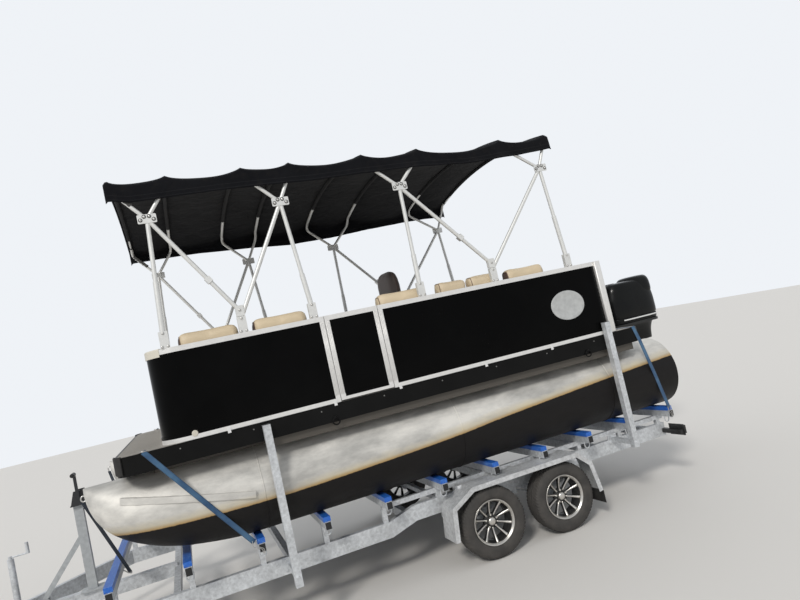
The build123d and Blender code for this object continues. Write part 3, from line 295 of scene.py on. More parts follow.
def carried(path, outline, up=(0, 0, 1), closed=False):
    """A profile carried along a path: at each point the outline's two columns are laid along the
    side and the rise of the path there, both square to its direction."""
    path, outline = np.asarray(path, float), np.asarray(outline, float)
    ahead = np.roll(path, -1, 0) - np.roll(path, 1, 0) if closed else np.gradient(path, axis=0)
    ahead /= np.linalg.norm(ahead, axis=1)[:, None]
    side = np.cross(ahead, np.asarray(up, float))
    side /= np.linalg.norm(side, axis=1)[:, None]
    rise = np.cross(side, ahead)
    grid = path[:, None] + outline[None, :, :1] * side[:, None] + outline[None, :, 1:] * rise[:, None]
    return quads(grid, around=True, along=closed, ends=not closed)


def turns(count):
    """So many even steps round a full circle."""
    return np.linspace(0, 2 * np.pi, count, endpoint=False)


def ring(radius, count=8):
    """A circle of so many points."""
    return radius * np.stack([np.cos(turns(count)), np.sin(turns(count))], 1)


def bars(one, other):
    """Square-edged bars, one for each pair of opposite corners: the eight are every mix of the two."""
    lows, highs = (np.atleast_2d(pick(one, other)).astype(float) for pick in (np.minimum, np.maximum))
    mix = np.array([[x, y, z] for x in (0, 1) for y in (0, 1) for z in (0, 1)])
    points = lows[:, None] + mix[None] * (highs - lows)[:, None]
    box = np.array([[0, 1, 3, 2], [4, 6, 7, 5], [0, 4, 5, 1], [2, 3, 7, 6], [0, 2, 6, 4], [1, 5, 7, 3]])
    faces = (box[None] + 8 * np.arange(len(lows))[:, None, None]).reshape(-1, 4)
    return points.reshape(-1, 3), faces.tolist()


def turned(profile, centre, axis, count=32, closed=False):
    """A profile of (distance along the axis, radius) spun about an axis through the centre."""
    profile = np.asarray(profile, float)
    axis = np.asarray(axis, float) / np.linalg.norm(axis)
    first = np.cross(axis, (0, 0, 1) if abs(axis[2]) < 0.9 else (1, 0, 0))
    first /= np.linalg.norm(first)
    second = np.cross(axis, first)
    spoke = np.cos(turns(count))[:, None] * first + np.sin(turns(count))[:, None] * second
    grid = np.asarray(centre) + profile[:, None, :1] * axis + profile[:, None, 1:] * spoke[None]
    return quads(grid, around=True, along=closed, ends=not closed)


def nuts(centres, axis, across, height):
    """Hexagon nuts: six-sided turnings with a chamfered top."""
    profile = [(0, across / 2), (height * 0.8, across / 2), (height, across * 0.4)]
    return [turned(profile, c, axis, 6) for c in centres]


axle_xs, wheel_z, spring_y = (-0.508, -1.210), 0.295, 0.925
clamp_gap, clamp_half, clamp_bar = 0.03, 0.029, ring(0.006)
clamp_low, clamp_top = wheel_z - 0.045, wheel_z + 0.075
clamp_shape = ((-clamp_half, clamp_low), (-clamp_half, clamp_top - 0.01), (-0.02, clamp_top),
               (0.02, clamp_top), (clamp_half, clamp_top - 0.01), (clamp_half, clamp_low))
hanger_reach, hanger_z = 0.29, wheel_z + 0.10
fittings = []
for x in axle_xs:
    for y in (spring_y, -spring_y):
        for bolt_x in (x - clamp_gap, x + clamp_gap):
            hoop = [(bolt_x, y + dy, z) for dy, z in clamp_shape]
            fittings.append(carried(fair(hoop, 24), clamp_bar, up=(1, 0, 0)))
            fittings += nuts([(bolt_x, y + dy, clamp_low + 0.010) for dy in (-clamp_half, clamp_half)],
                             (0, 0, -1), 0.02, 0.01)
        fittings.append(bars([x - 0.045, y - 0.04, wheel_z - 0.033], [x + 0.045, y + 0.04, wheel_z - 0.0225]))
for side in (1, -1):
    for x in (axle_xs[0] + hanger_reach, sum(axle_xs) / 2, axle_xs[1] - hanger_reach):
        fittings += nuts([(x, side * (spring_y + 0.028), hanger_z)], (0, side, 0), 0.026, 0.012)
made_of("spring_fittings", fittings, zinc, bevel=0.001)

# Tyres
# Radial trailer tyres, moulded black rubber gone grey with dust.  A block tread is cut by
# three wavy grooves and by slots across the shoulders; the side walls carry plain rings.


def rubber(name, black, dust):
    """Rubber: near-black, with a slow cloud of pale dust that also takes off the shine."""
    coat = Finish(name)
    cloud = coat.noise(9.0, 6.0, 0.6)
    dusty = coat.spread(cloud, (0.35, 0.75), (0.0, dust))
    return coat.done(colour=coat.blend(dusty, black, (0.115, 0.105, 0.095)),
                     rough=coat.spread(cloud, onto=(0.55, 0.85)),
                     relief=coat.bump(coat.noise(420.0), 0.25, 0.0006), gleam=0.3)


tyre_rubber = rubber("tyre_rubber", (0.046, 0.044, 0.042), 0.55)
wheel_y, tyre_half, tyre_r, rim_r, rim_half, tread_half = 1.125, 0.095, 0.295, 0.188, 0.075, 0.0785
wheels = [(f"{end}_{hand}", x, side) for end, x in zip(("front", "rear"), axle_xs)
          for hand, side in (("port", 1), ("starboard", -1))]
wall = fair([(rim_half - 0.004, rim_r - 0.004), (rim_half + 0.006, rim_r + 0.004), (0.092, rim_r + 0.022),
             (tyre_half, rim_r + 0.046), (0.092, tyre_r - 0.034), (0.083, tyre_r - 0.015)], 26)
crown = np.stack([np.linspace(tread_half, -tread_half, 46), np.full(46, tyre_r)], 1)
crown[:, 1] -= 0.008 * (np.abs(crown[:, 0]) / tread_half) ** 3.2
section = np.vstack([wall, crown, (wall * (-1, 1))[::-1]])
across, height = section[:, :1], section[:, 1:]
tread_turn = turns(540)
groove_w, groove_depth, waves_round, slots_round = 0.0028, 0.0068, 34, 66
wave = 0.0035 * np.abs(((tread_turn * waves_round / np.pi) % 2) - 1)[None]
cut = np.zeros((len(section), len(tread_turn)))
for groove in (-0.034, 0.0, 0.031):
    cut = np.maximum(cut, np.clip(1.6 - np.abs(across - groove - wave) / groove_w, 0, 1))
slot = ((tread_turn[None] * slots_round / (2 * np.pi) + across * 18 * np.sign(across)) % 1) < 0.26
cut = np.maximum(cut, np.where((np.abs(across) > 0.045) & (height > tyre_r - 0.022), slot * 0.8, 0))
cut = np.where(height > tyre_r - 0.026, cut, 0)
wall_rings = (0.0012 * np.exp(-(((height - rim_r - 0.016) / 0.0018) ** 2))
              + 0.001 * np.exp(-(((height - tyre_r + 0.046) / 0.0022) ** 2)))
for name, x, side in wheels:
    r = height - groove_depth * cut
    y = side * (wheel_y + across + np.sign(across) * wall_rings) + 0 * r
    grid = np.stack([x + r * np.cos(tread_turn), y, wheel_z + r * np.sin(tread_turn)], -1)
    tyre = made_of(f"tread_{name}", [quads(grid, around=True, along=True)], tyre_rubber, f"wheel_{name}")
    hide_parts(f"tyre_{name}")

# Wheels
# Cast aluminium wheels with ten spokes.  The spoke faces, lip and centre cap are machined
# bright and lacquered; the barrel and the spokes' sides are painted black.


def metal(name, colour, rough, metallic=1.0, scale=60.0):
    """Bright metal: an even colour with fine uneven gloss and a faint grain."""
    coat = Finish(name)
    cloud = coat.noise(scale, 6.0, 0.7)
    return coat.done(colour=coat.blend(cloud, tint(colour, 0.86), tint(colour, 1.1)),
                     rough=coat.spread(cloud, onto=(rough - 0.06, rough + 0.12)),
                     relief=coat.bump(cloud, 0.08, 0.001), metal=metallic)


machined = metal("machined_face", (0.72, 0.70, 0.66), 0.28)
wheel_black = metal("wheel_black", (0.02, 0.02, 0.02), 0.3, metallic=0.0)
barrel = [(rim_half - 0.002, rim_r - 0.009), (0.052, rim_r - 0.022), (0.02, rim_r - 0.036),
          (-0.045, rim_r - 0.032), (-rim_half, rim_r - 0.010), (-rim_half, rim_r - 0.004),
          (0.0, rim_r - 0.004), (rim_half - 0.004, rim_r - 0.003)]
disc = [(-0.026, 0.02), (-0.020, 0.062), (-0.004, 0.070), (0.012, 0.064), (0.016, 0.046), (0.016, 0.02)]
lip = [(rim_half + 0.004, rim_r - 0.001), (rim_half + 0.005, rim_r - 0.006),
       (rim_half - 0.004, rim_r - 0.014), (0.050, rim_r - 0.019), (0.049, rim_r - 0.022),
       (rim_half - 0.006, rim_r - 0.018), (rim_half - 0.002, rim_r - 0.003)]
cap = [(0.010, 0.034), (0.030, 0.034), (0.038, 0.030), (0.0425, 0.018), (0.043, 0.004)]
spoke_count, spoke_root, stud_r = 10, 0.050, 0.051
t = np.linspace(0, 1, 14)[:, None]
reach = spoke_root + t * (rim_r - 0.019 - spoke_root)
depth = 0.017 + 0.040 * t**1.6
half = 0.0075 + 0.0075 * t**2
stud_turn = 2 * np.pi * (np.arange(5) + 0.25) / 5
for name, x, side in wheels:
    centre = np.array([x, side * wheel_y, wheel_z])
    out = np.array([0.0, side, 0.0])
    spokes, faces = [], []
    for k in range(spoke_count):
        a = 2 * np.pi * (k + 0.5) / spoke_count
        radial = np.array([np.cos(a), 0, np.sin(a)])
        tangent = np.array([-np.sin(a), 0, np.cos(a)])
        for store, grow, lift, thick, flare in ((spokes, 1.0, 0.0, 0.024, 1.25),
                                                (faces, 0.74, 0.0016, 0.003, 1)):
            rows = [centre + reach * radial + grow * sx * half * tangent + (depth + lift + sy * thick) * out
                    for sx, sy in ((-1, 0), (1, 0), (flare, -1), (-flare, -1))]
            store.append(quads(np.stack(rows, 1), around=True, ends=True))
    dark_parts = [turned(barrel, centre, out, 72, closed=True), turned(disc, centre, out, 48)] + spokes
    dark = made_of(f"wheel_dark_{name}", dark_parts, wheel_black, f"wheel_{name}", bevel=0.0012)
    studs = centre + stud_r * np.stack([np.cos(stud_turn), 0 * stud_turn, np.sin(stud_turn)], 1) + out * 0.012
    bright_parts = [turned(lip, centre, out, 96, closed=True), turned(cap, centre, out, 40)] + faces
    bright_parts += nuts(studs, out, 0.019, 0.016)
    bright = made_of(f"wheel_bright_{name}", bright_parts, machined, f"wheel_{name}")
    bright.data.polygons.foreach_set("use_smooth", [len(p.vertices) == 4 for p in bright.data.polygons])
    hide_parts(f"rim_{name}")

# Mudguards
# Folded aluminium chequer plate over each pair of wheels, the raised bars pressed in
# alternate directions, with black rubber flaps bolted behind.
plate_zinc = galvanised("plate_zinc", grey=(0.60, 0.61, 0.62), rough=0.42)
dress(plate_zinc, "mudguards")
flap_rubber = rubber("flap_rubber", (0.02, 0.02, 0.02), 0.3)
dress(flap_rubber, "mud_flaps")
guard_line = ((-0.122, 0.275), (-0.150, 0.520), (-0.360, 0.636), (-1.400, 0.636), (-1.530, 0.520),
              (-1.572, 0.285))
guard_in, guard_out, guard_middle = 1.040, 1.240, -0.8
bar_pitch, bar_long, bar_wide, bar_high = 0.030, 0.012, 0.0036, 0.0016
bar_faces = np.array([[0, 1, 4, 4], [1, 2, 5, 4], [2, 3, 5, 5], [3, 0, 4, 5]])
chequers = []
for (ax, az), (bx, bz) in zip(guard_line, guard_line[1:]):
    span = np.hypot(bx - ax, bz - az)
    run = np.array([bx - ax, 0, bz - az]) / span
    normal = np.array([-run[2], 0, run[0]])
    normal *= -1 if normal[2] < 0 else 1
    steep = abs(normal[2]) <= 0.2
    normal *= np.sign(normal[0] * (1 if ax > guard_middle else -1)) if steep else np.sign(normal[2])
    along_plate = np.arange(0.024, span - 0.02, bar_pitch)
    across_plate = np.arange(guard_in, guard_out, bar_pitch)
    s, w = (g.ravel() for g in np.meshgrid(along_plate, across_plate))
    hand = np.where((np.round(s / bar_pitch) + np.round(w / bar_pitch)) % 2 > 0, 1, -1)[:, None]
    for side in (1, -1):
        base = np.array([ax, 0, az]) + s[:, None] * run + w[:, None] * np.array([0, side, 0])
        along = (run[None] + hand * np.array([[0, 1, 0]])) / np.sqrt(2)
        sideways = (run[None] - hand * np.array([[0, 1, 0]])) / np.sqrt(2)
        peak = base + normal * bar_high
        lozenge = np.stack([base + along * bar_long, base + sideways * bar_wide, base - along * bar_long,
                            base - sideways * bar_wide, peak + along * 0.006, peak - along * 0.006], 1)
        order = (bar_faces[None] + 6 * np.arange(len(base))[:, None, None]).reshape(-1, 4)
        chequers.append((lozenge.reshape(-1, 3), [list(dict.fromkeys(q)) for q in order.tolist()]))
made_of("chequer_bars", chequers, plate_zinc, smooth=False)

# Bunks and skids
# Eleven galvanised box beams lie across the trailer, each with a black plastic plug in its
# ends, a round-bar lashing loop welded under it and a blue slide moulding on its top.
coat = Finish("skid_blue")
scuff = coat.spread(coat.noise(6.0, 7.0, 0.7, at=coat.place((9.0, 1.2, 9.0))), (0.52, 0.70))
dress(coat.done(colour=coat.blend(scuff, (0.018, 0.125, 0.52), (0.10, 0.28, 0.66)), rough=0.38), "skids")
coat = Finish("plug_black")
plug_black = coat.done(colour=(0.012, 0.012, 0.013), rough=0.5,
                       relief=coat.bump(coat.noise(300.0), 0.2, 0.0005))
bunk_xs = np.array([2.354, 1.840, 1.323, 0.822, 0.319, -0.174, -0.664, -1.153, -1.640, -2.115, -2.592])
bunk_end, bunk_low, loop_in = 1.150, 0.6467, 0.075
plug_half, plug_thick, plug_high = 0.022, 0.004, 0.054
half_loop = ((-0.024, 0.003), (-0.025, -0.016), (-0.024, -0.034), (-0.014, -0.049))
loop_shape = half_loop + ((0.0, -0.053),) + tuple((-dx, dz) for dx, dz in half_loop[::-1])
plugs, loops = [], []
for side in (1, -1):
    ends = np.array([[x - plug_half, side * bunk_end, bunk_low + 0.003] for x in bunk_xs])
    plugs.append(bars(ends, ends + np.array([2 * plug_half, side * plug_thick, plug_high])))
    for x in bunk_xs:
        hang = [(x + dx, side * (bunk_end - loop_in), bunk_low + dz) for dx, dz in loop_shape]
        loops.append(carried(fair(hang, 40), ring(0.0055), up=(0, 1, 0)))
made_of("bunk_plugs", plugs, plug_black, bevel=0.0015)
made_of("lashing_loops", loops, zinc)

# Guide post tops and brackets
# Galvanised square posts keep the boat over its trailer.  Each has a black plug in its open
# top, four bolts through its outrigger's plate and one through its own foot.
post_y, post_half, plate_y, bolt_y = 1.26, 0.0255, 0.956, 1.2875
tops, bolts = [], []
for x, top_z, arm_z in ((1.133, 1.542, 0.415), (-2.012, 1.672, 0.545)):
    for side in (1, -1):
        tops.append(bars([x - post_half, side * post_y - post_half, top_z],
                         [x + post_half, side * post_y + post_half, top_z + 0.004]))
        heads = [(x + dx, side * plate_y, arm_z + dz) for dx in (-0.036, 0.036) for dz in (-0.008, 0.062)]
        bolts += nuts(heads, (0, side, 0), 0.022, 0.009)
        bolts += nuts([(x, side * bolt_y, arm_z + 0.02)], (0, side, 0), 0.022, 0.008)
made_of("guide_plugs", tops, plug_black, bevel=0.001)
made_of("guide_bolts", bolts, zinc, smooth=False)

# Rear lamps
# Red and amber plastic lenses, ribbed inside, in the black moulded case that each lamp
# board carries at the trailer's tail.
dress(metal("lamp_case", (0.015, 0.015, 0.015), 0.4, metallic=0.0), "rear_lamps")
lens_back, lens_face, lens_low, lens_high = -2.6835, -2.6905, 0.470, 0.535
for name, y0, y1, stain in (("stop_lens", 1.030, 1.098, (0.55, 0.01, 0.01)),
                            ("turn_lens", 1.104, 1.180, (0.75, 0.16, 0.01))):
    coat = Finish(name)
    lens = coat.done(colour=stain, rough=0.15, lacquer=0.6,
                     relief=coat.bump(coat.ribs(45.0, "Y"), 0.5, 0.001))
    shells = [bars([lens_face, side * y0, lens_low], [lens_back, side * y1, lens_high]) for side in (1, -1)]
    made_of(name, shells, lens, bevel=0.003)

# Pontoons
# Welded 3 mm marine aluminium, bright above and rolled from sheet.  Black anti-fouling
# covers the underside, and the water has left a yellow tide mark just above it.
tube_y, tube_z, tube_r, tube_aft, tube_long = 0.870, 1.068, 0.325, -2.75, 5.18
paint_edge = ((-2.75, 1.208), (-1.70, 1.150), (-0.74, 1.088), (-0.40, 1.059), (0.40, 1.020), (1.11, 1.000),
              (1.70, 1.008), (2.17, 1.021), (2.43, 1.030))
edge_low_z, edge_high_z = 0.9, 1.3
coat = Finish("tube_skin")
drift = coat.noise(2.6, 9.0, 0.62, at=coat.place((1.0, 2.4, 2.4)))
fine = coat.noise(34.0, 5.0, 0.65)
share_along = coat.spread(coat.axis("X"), (tube_aft, tube_aft + tube_long))
edge = coat.node("FloatCurve", {"Value": share_along})
spots = [((x - tube_aft) / tube_long, (z - edge_low_z) / (edge_high_z - edge_low_z)) for x, z in paint_edge]
line = edge.node.mapping.curves[0]
line.points[0].location, line.points[-1].location = spots[0], spots[-1]
for spot in spots[1:-1]:
    line.points.new(*spot)
edge.node.mapping.update()
over_edge = coat.reckon("SUBTRACT", coat.axis("Z"), coat.spread(edge, onto=(edge_low_z, edge_high_z)))
over_edge = coat.reckon("ADD", over_edge, coat.reckon("MULTIPLY", fine, 0.010))
bare = coat.spread(over_edge, (0.003, 0.007))
tide = coat.reckon("MULTIPLY", coat.spread(over_edge, (0.005, 0.13), (1.0, 0.0)), drift)
stain = coat.spread(tide, (0.18, 0.55), (0.0, 0.85))
scum = coat.spread(over_edge, (0.008, 0.036), (0.85, 0.0))
clouds = coat.ramp(drift, (0.34, (0.47, 0.46, 0.435)), (0.66, (0.80, 0.78, 0.735)))
bright = coat.blend(scum, coat.blend(stain, clouds, (0.62, 0.52, 0.30)), (0.46, 0.29, 0.11))
tube_skin = coat.done(colour=coat.blend(bare, (0.007, 0.006, 0.006), bright), gleam=0.25,
                      metal=coat.reckon("MULTIPLY", bare, 0.42),
                      rough=coat.spread(drift, (0.3, 0.7), (0.44, 0.66)),
                      relief=coat.bump(coat.reckon("ADD", drift, fine), 0.35, 0.004))
dress(tube_skin, "pontoon_port", "pontoon_starboard")
weld_turn = turns(160)
welds = []
for side in (1, -1):
    for x in (1.23, -0.42, -1.98):
        weave = 0.0009 * np.sin(weld_turn * 150)
        hoop = np.stack([x + weave, side * tube_y + tube_r * np.cos(weld_turn),
                         tube_z + tube_r * np.sin(weld_turn)], 1)
        welds.append(carried(hoop, ring(0.0042), up=(1, 0, 0), closed=True))
made_of("tube_welds", welds, tube_skin)

# Under-deck frame and motor pod
# Mill-finish aluminium channel and plate, darkened as painted shade for the shadow under the deck.
# A plain skirt plate closes the gap under the deck on each side, forward of the gate.
# Painted shade: this dark grey stands in for the shadow under the deck, on the frame, the pod and the skirts.
mill_in_shade = metal("mill_aluminium_painted_shade", (0.105, 0.095, 0.082), 0.52, metallic=0.5, scale=7.0)
dress(mill_in_shade, "under_deck_frame", "motor_pod")
skirt_in, skirt_out = 1.189, 1.1935
skirts = [bars([0.795, side * skirt_in, 1.366], [1.140, side * skirt_out, 1.539]) for side in (1, -1)]
made_of("forward_skirts", skirts, mill_in_shade, smooth=False)

# Deck
# Marine ply under a woven vinyl floor, glued down: tan and grey yarns in narrow ribs, with
# a slow cloud of dust over them.
coat = Finish("deck_weave")
yarn = coat.noise(160.0, at=coat.place((1.0, 3.0, 1.0)))
ribbed = coat.reckon("MULTIPLY", coat.ribs(42.0, "Y", warp=0.6), yarn)
woven = coat.blend(ribbed, (0.17, 0.155, 0.135), (0.62, 0.585, 0.53))
dress(coat.done(colour=coat.blend(coat.noise(2.2, 5.0), woven, (0.40, 0.375, 0.34)), rough=0.85,
                relief=coat.bump(ribbed, 0.5, 0.002)), "deck")

# Deck edge
# Black powder-coated aluminium section held by domed rivets, with a black lip turned down over the frame
# that also stands in for the shade under the deck's edge.  Two small ring eyes for mooring hang from the lip
# on each side.


def black_coat(name, tone, rough, gleam):
    """Black gloss paint: a faint uneven gloss and a little dust on it."""
    coat = Finish(name)
    haze = coat.noise(1.7, 6.0, 0.6)
    shade = coat.spread(haze, (0.4, 0.8), (tone, tone * 2.2))
    return coat.done(colour=coat.node("CombineColor", {"Red": shade, "Green": shade, "Blue": shade}),
                     rough=coat.spread(haze, onto=(rough * 0.7, rough * 1.7)), gleam=gleam)


def corner(middle, radius, at_bow):
    """A level quarter circle round the middle of a port corner: from the side to the front at
    the bow, and from the back to the side at the stern."""
    sweep = np.radians(np.linspace(0, 90, 24))
    forward, outward = (np.sin(sweep), np.cos(sweep)) if at_bow else (-np.cos(sweep), np.sin(sweep))
    return np.stack([middle[0] + radius * forward, middle[1] + radius * outward, 0 * sweep], 1)


edge_black = black_coat("edge_black", 0.004, 0.3, 0.12)
dress(edge_black, "deck_fascia")
lip_low, lip_high, lip_wide, fold_wide, sheet_thick = 1.427, 1.4925, 0.014, 0.022, 0.003
lip_section = np.array([(0.0, lip_low), (0.0, lip_high), (lip_wide, lip_high),
                        (lip_wide, lip_low + sheet_thick), (fold_wide, lip_low + sheet_thick),
                        (fold_wide, lip_low)])
deck_turn, bow_corner, stern_corner = 0.1275, (2.042, 1.097), (-2.307, 1.097)
half_way = np.vstack([[(-2.4345, 1.000, 0)], corner(stern_corner, deck_turn, False),
                      corner(bow_corner, deck_turn, True)])
whole_way = np.vstack([half_way, half_way[::-1] * (1, -1, 1)])
# Painted shade: this black lip below the fascia deepens the dark band, in place of the shadow under the
# deck's edge.
made_of("deck_edge_shade_lip", [carried(whole_way, lip_section)], edge_black, bevel=0.0015)
rivet, rivet_y, rivet_z = [(0, 0.0055), (0.0012, 0.0055), (0.0026, 0.0038), (0.0031, 0.0012)], 1.225, 1.527
side_xs, end_ys = np.arange(-1.869, 2.0, 0.515), np.arange(-0.90, 0.91, 0.45)
heads = []
for side in (1, -1):
    heads += [turned(rivet, (x, side * rivet_y, rivet_z), (0, side, 0), 10) for x in side_xs]
for end, x in ((1, 2.170), (-1, -2.435)):
    heads += [turned(rivet, (x, y, rivet_z), (end, 0, 0), 10) for y in end_ys]
dull_rivet = metal("dull_rivet", (0.30, 0.30, 0.29), 0.45)
made_of("edge_rivets", heads, dull_rivet)
eye_turn, eye_r, eye_y, eye_z = turns(36), 0.027, 1.233, 1.432
mooring = []
for side in (1, -1):
    for x in (0.610, -1.775):
        hoop = np.stack([x + eye_r * np.cos(eye_turn), side * eye_y + 0 * eye_turn,
                         eye_z + eye_r * np.sin(eye_turn)], 1)
        mooring.append(carried(hoop, ring(0.0055), up=(0, 1, 0), closed=True))
        mooring.append(bars([x - 0.012, side * 1.2235, 1.452], [x + 0.012, side * 1.240, 1.468]))
made_of("mooring_eyes", mooring, edge_black)

# Fence frame
# Satin anodised square tube, welded and mitred.  The gate posts carry pressed flutes and
# small bright clips hold the lower rail to the deck.
anodised = metal("anodised", (0.84, 0.83, 0.81), 0.38, metallic=0.45, scale=24.0)
dress(anodised, "fence_frame_port_front", "fence_frame_port_rear", "fence_frame_starboard",
      "gate_port_frame", "gate_bow_frame", "gate_stern_frame", "helm_chair_pedestal")
panel_low, panel_high, fence_y = 1.620, 2.202, 1.220
for body_name, xs in (("root", (0.5555, 0.0665)), ("gate_port", (0.5105, 0.1095))):
    flutes = []
    for x in [x + dx for x in xs for dx in (-0.011, 0.0, 0.011)]:
        line = [(x, fence_y, panel_low), (x, fence_y, panel_high)]
        flutes.append(carried(line, ring(0.0026), up=(0, 1, 0)))
    made_of(f"post_flutes_{body_name}", flutes, anodised, body_name)
bright_rivet = metal("bright_rivet", (0.86, 0.86, 0.85), 0.35, metallic=0.4)
clip_xs, clip_half = (1.39, 0.585, 0.04, -0.75, -1.42), 0.012
clips = [bars([x - clip_half, 1.2195, 1.546], [x + clip_half, 1.2285, 1.584]) for x in clip_xs]
made_of("rail_clips", clips, bright_rivet, bevel=0.001)

# Fence panels
# Thin composite sheet, black and high gloss, slid into the frames.  The sheet laps over the
# upper half of the lower rail and follows its rounded corners.
panel_black = black_coat("panel_black", 0.0016, 0.10, 0.06)
dress(panel_black, "fence_panels", "gate_port_panel", "gate_bow_panel", "gate_stern_panel")
lap_low, lap_high, rail_y, rail_bow, rail_aft = 1.597, 1.6205, 1.201, 1.833, -2.091
lap = np.array([(-0.0202, lap_low), (-0.0202, lap_high), (-0.017, lap_high), (-0.017, lap_low)])
bow_bend = corner((1.643, 1.011), 0.190, True)
aft_bend = corner((-2.021, 1.131), 0.070, False)
bow_end = [(rail_bow, 0.372, 0)]
front_run = np.vstack([[(0.5745, rail_y, 0)], bow_bend, bow_end])
rear_run = np.vstack([[(rail_aft, -0.140, 0)], aft_bend, [(0.0475, rail_y, 0)]])
other_run = np.vstack([[(rail_aft, 0.760, 0)], aft_bend, bow_bend, bow_end]) * (1, -1, 1)
laps = [carried(front_run, lap), carried(rear_run, lap), carried(other_run, lap * (-1, 1))]
made_of("panel_laps", laps, panel_black, smooth=False)
gate_lap = bars([0.1290, 1.2180, lap_low], [0.4910, 1.2212, lap_high])
made_of("gate_lap", [gate_lap], panel_black, "gate_port", smooth=False)

# Stern corner posts
# Anodised square section with rounded edges, standing over the fence's two aft corners and
# welded to the rails that meet there.
post_turn, aft_post_x, aft_post_y = turns(64), -2.113, 1.1895
post_reach = (np.abs(np.cos(post_turn)) ** 7 + np.abs(np.sin(post_turn)) ** 7) ** (-1 / 7)
posts = []
for side in (1, -1):
    rows = [np.stack([aft_post_x + (0.033 - inset) * post_reach * np.cos(post_turn),
                      side * aft_post_y + (0.0325 - inset) * post_reach * np.sin(post_turn),
                      z + 0 * post_turn], 1)
            for z, inset in ((1.566, 0.003), (1.569, 0.0), (2.238, 0.0), (2.2415, 0.004))]
    posts.append(quads(np.stack(rows), around=True, ends=True))
made_of("stern_corner_posts", posts, anodised)

# Oval plate
# A plain pressed aluminium oval riveted to the aft side panel, with a raised rim and a line
# inside it.
oval_x, oval_y, oval_z, oval_w, oval_h = -1.692, 1.2165, 1.900, 0.178, 0.132
profile = np.array([(0.0, 1.0), (0.003, 1.0), (0.0042, 0.975), (0.0030, 0.94), (0.0026, 0.90),
                    (0.0034, 0.885), (0.0026, 0.87), (0.0024, 0.5), (0.0024, 0.02)])
turn = turns(72)
oval = np.stack([oval_x + oval_w * profile[:, 1:] * np.cos(turn), oval_y + profile[:, :1] + 0 * turn,
                 oval_z + oval_h * profile[:, 1:] * np.sin(turn)], -1)
coat = Finish("plate_face")
plate_face = coat.done(colour=coat.blend(coat.noise(26.0, 5.0), (0.38, 0.39, 0.39), (0.66, 0.67, 0.66)),
                       rough=0.4, metal=0.3)
made_of("oval_plate", [quads(oval, around=True, ends=True)], plate_face)

# Bench bases
# Rotationally moulded brown plastic boxes, closed at the floor by a coved black kick strip.
# A last box on its own stands at the aft bench's forward end, beside the gate.


def moulded(name, colour, rough=0.5):
    """Moulded plastic: a pebble grain, and a slow drift of tone that also dulls it."""
    coat = Finish(name)
    drift = coat.noise(3.0, 6.0)
    return coat.done(colour=coat.blend(drift, tint(colour, 0.8), tint(colour, 1.2)),
                     rough=coat.spread(drift, onto=(rough - 0.12, rough + 0.18)),
                     relief=coat.bump(coat.cells(260.0, "Distance"), 0.2, 0.0008))


brown_shell = moulded("brown_shell", (0.10, 0.062, 0.045))
dress(brown_shell, "bench_bases", "helm_console")
floor_z, kick_h, kick_y, kick_in = 1.565, 0.062, 0.6835, 0.02
cove = np.array([(-0.006, 0.0), (0.0, 0.0), (0.0, kick_h), (-0.003, kick_h), (-0.0045, 0.02)])
kicks = []
for side, x0, x1 in ((1, 0.600, 1.580), (-1, 0.600, 1.580), (1, -1.630, 0.050)):
    rows = [np.stack([0 * cove[:, 0] + x, side * (kick_y + cove[:, 0]), floor_z + cove[:, 1]], 1)
            for x in (x0 + kick_in, x1 - kick_in)]
    kicks.append(quads(np.stack(rows), around=True, ends=True))
made_of("kick_strips", kicks, plug_black, smooth=False)
end_box = bars([-0.4495, 0.685, 1.5655], [0.050, 1.165, 1.8945])
made_of("bench_end_box", [end_box], brown_shell, bevel=0.02)

# Seat and back cushions
# Foam under sewn vinyl: beige over the top and face, with a dark brown panel on the end
# that faces the bow.  Every pad swells between its seams, and lies flat on what holds it.


def vinyl(name, field, panel):
    """Sewn vinyl: pores and slack creases, in the panel's colour where the pad's own
    attribute is above nought."""
    coat = Finish(name)
    worn = coat.noise(2.8, 5.0)
    beyond = coat.spread(coat.node("Attribute", {}, "Fac", attribute_name="panel"), (-0.0008, 0.0008))
    light = coat.blend(worn, tint(field, 0.84), tint(field, 1.12))
    dark = coat.blend(worn, tint(panel, 0.7), tint(panel, 1.25))
    creased = coat.bump(coat.noise(11.0, 5.0, 0.55, warp=0.8), 0.4, 0.010)
    return coat.done(colour=coat.blend(beyond, light, dark), rough=coat.spread(worn, onto=(0.38, 0.62)),
                     relief=coat.bump(coat.cells(620.0, "Distance"), 0.16, 0.0008, over=creased))


def boxy(centre, half, power, rows=26, cols=56):
    """A boxy egg: along a direction d from the centre, the skin is at the distance where the
    sum of |d / half| to the power is one."""
    tilt = np.linspace(-np.pi / 2, np.pi / 2, rows)[:, None]
    turn = turns(cols)[None]
    way = np.stack([np.cos(tilt) * np.cos(turn), np.cos(tilt) * np.sin(turn), np.sin(tilt) + 0 * turn], -1)
    reach = (np.abs(way) ** power).sum(-1) ** (-1 / power)
    return quads(np.asarray(centre) + way * reach[..., None] * half, around=True)


def evened(name, skin, voxel):
    """The skin as a closed mesh of even squares, voxel across."""
    rough = bpy.data.meshes.new(name)
    rough.from_pydata(skin[0].tolist(), [], skin[1])
    face_out(rough, merge=1e-5)
    holder = placed(name, rough)
    even = holder.modifiers.new("even", "REMESH")
    even.mode, even.voxel_size = "VOXEL", voxel
    mesh = bpy.data.meshes.new_from_object(holder.evaluated_get(bpy.context.evaluated_depsgraph_get()))
    bpy.data.objects.remove(holder)
    return mesh


def points_of(mesh):
    """A mesh's points as one array."""
    flat = np.empty(len(mesh.vertices) * 3)
    mesh.vertices.foreach_get("co", flat)
    return flat.reshape(-1, 3)


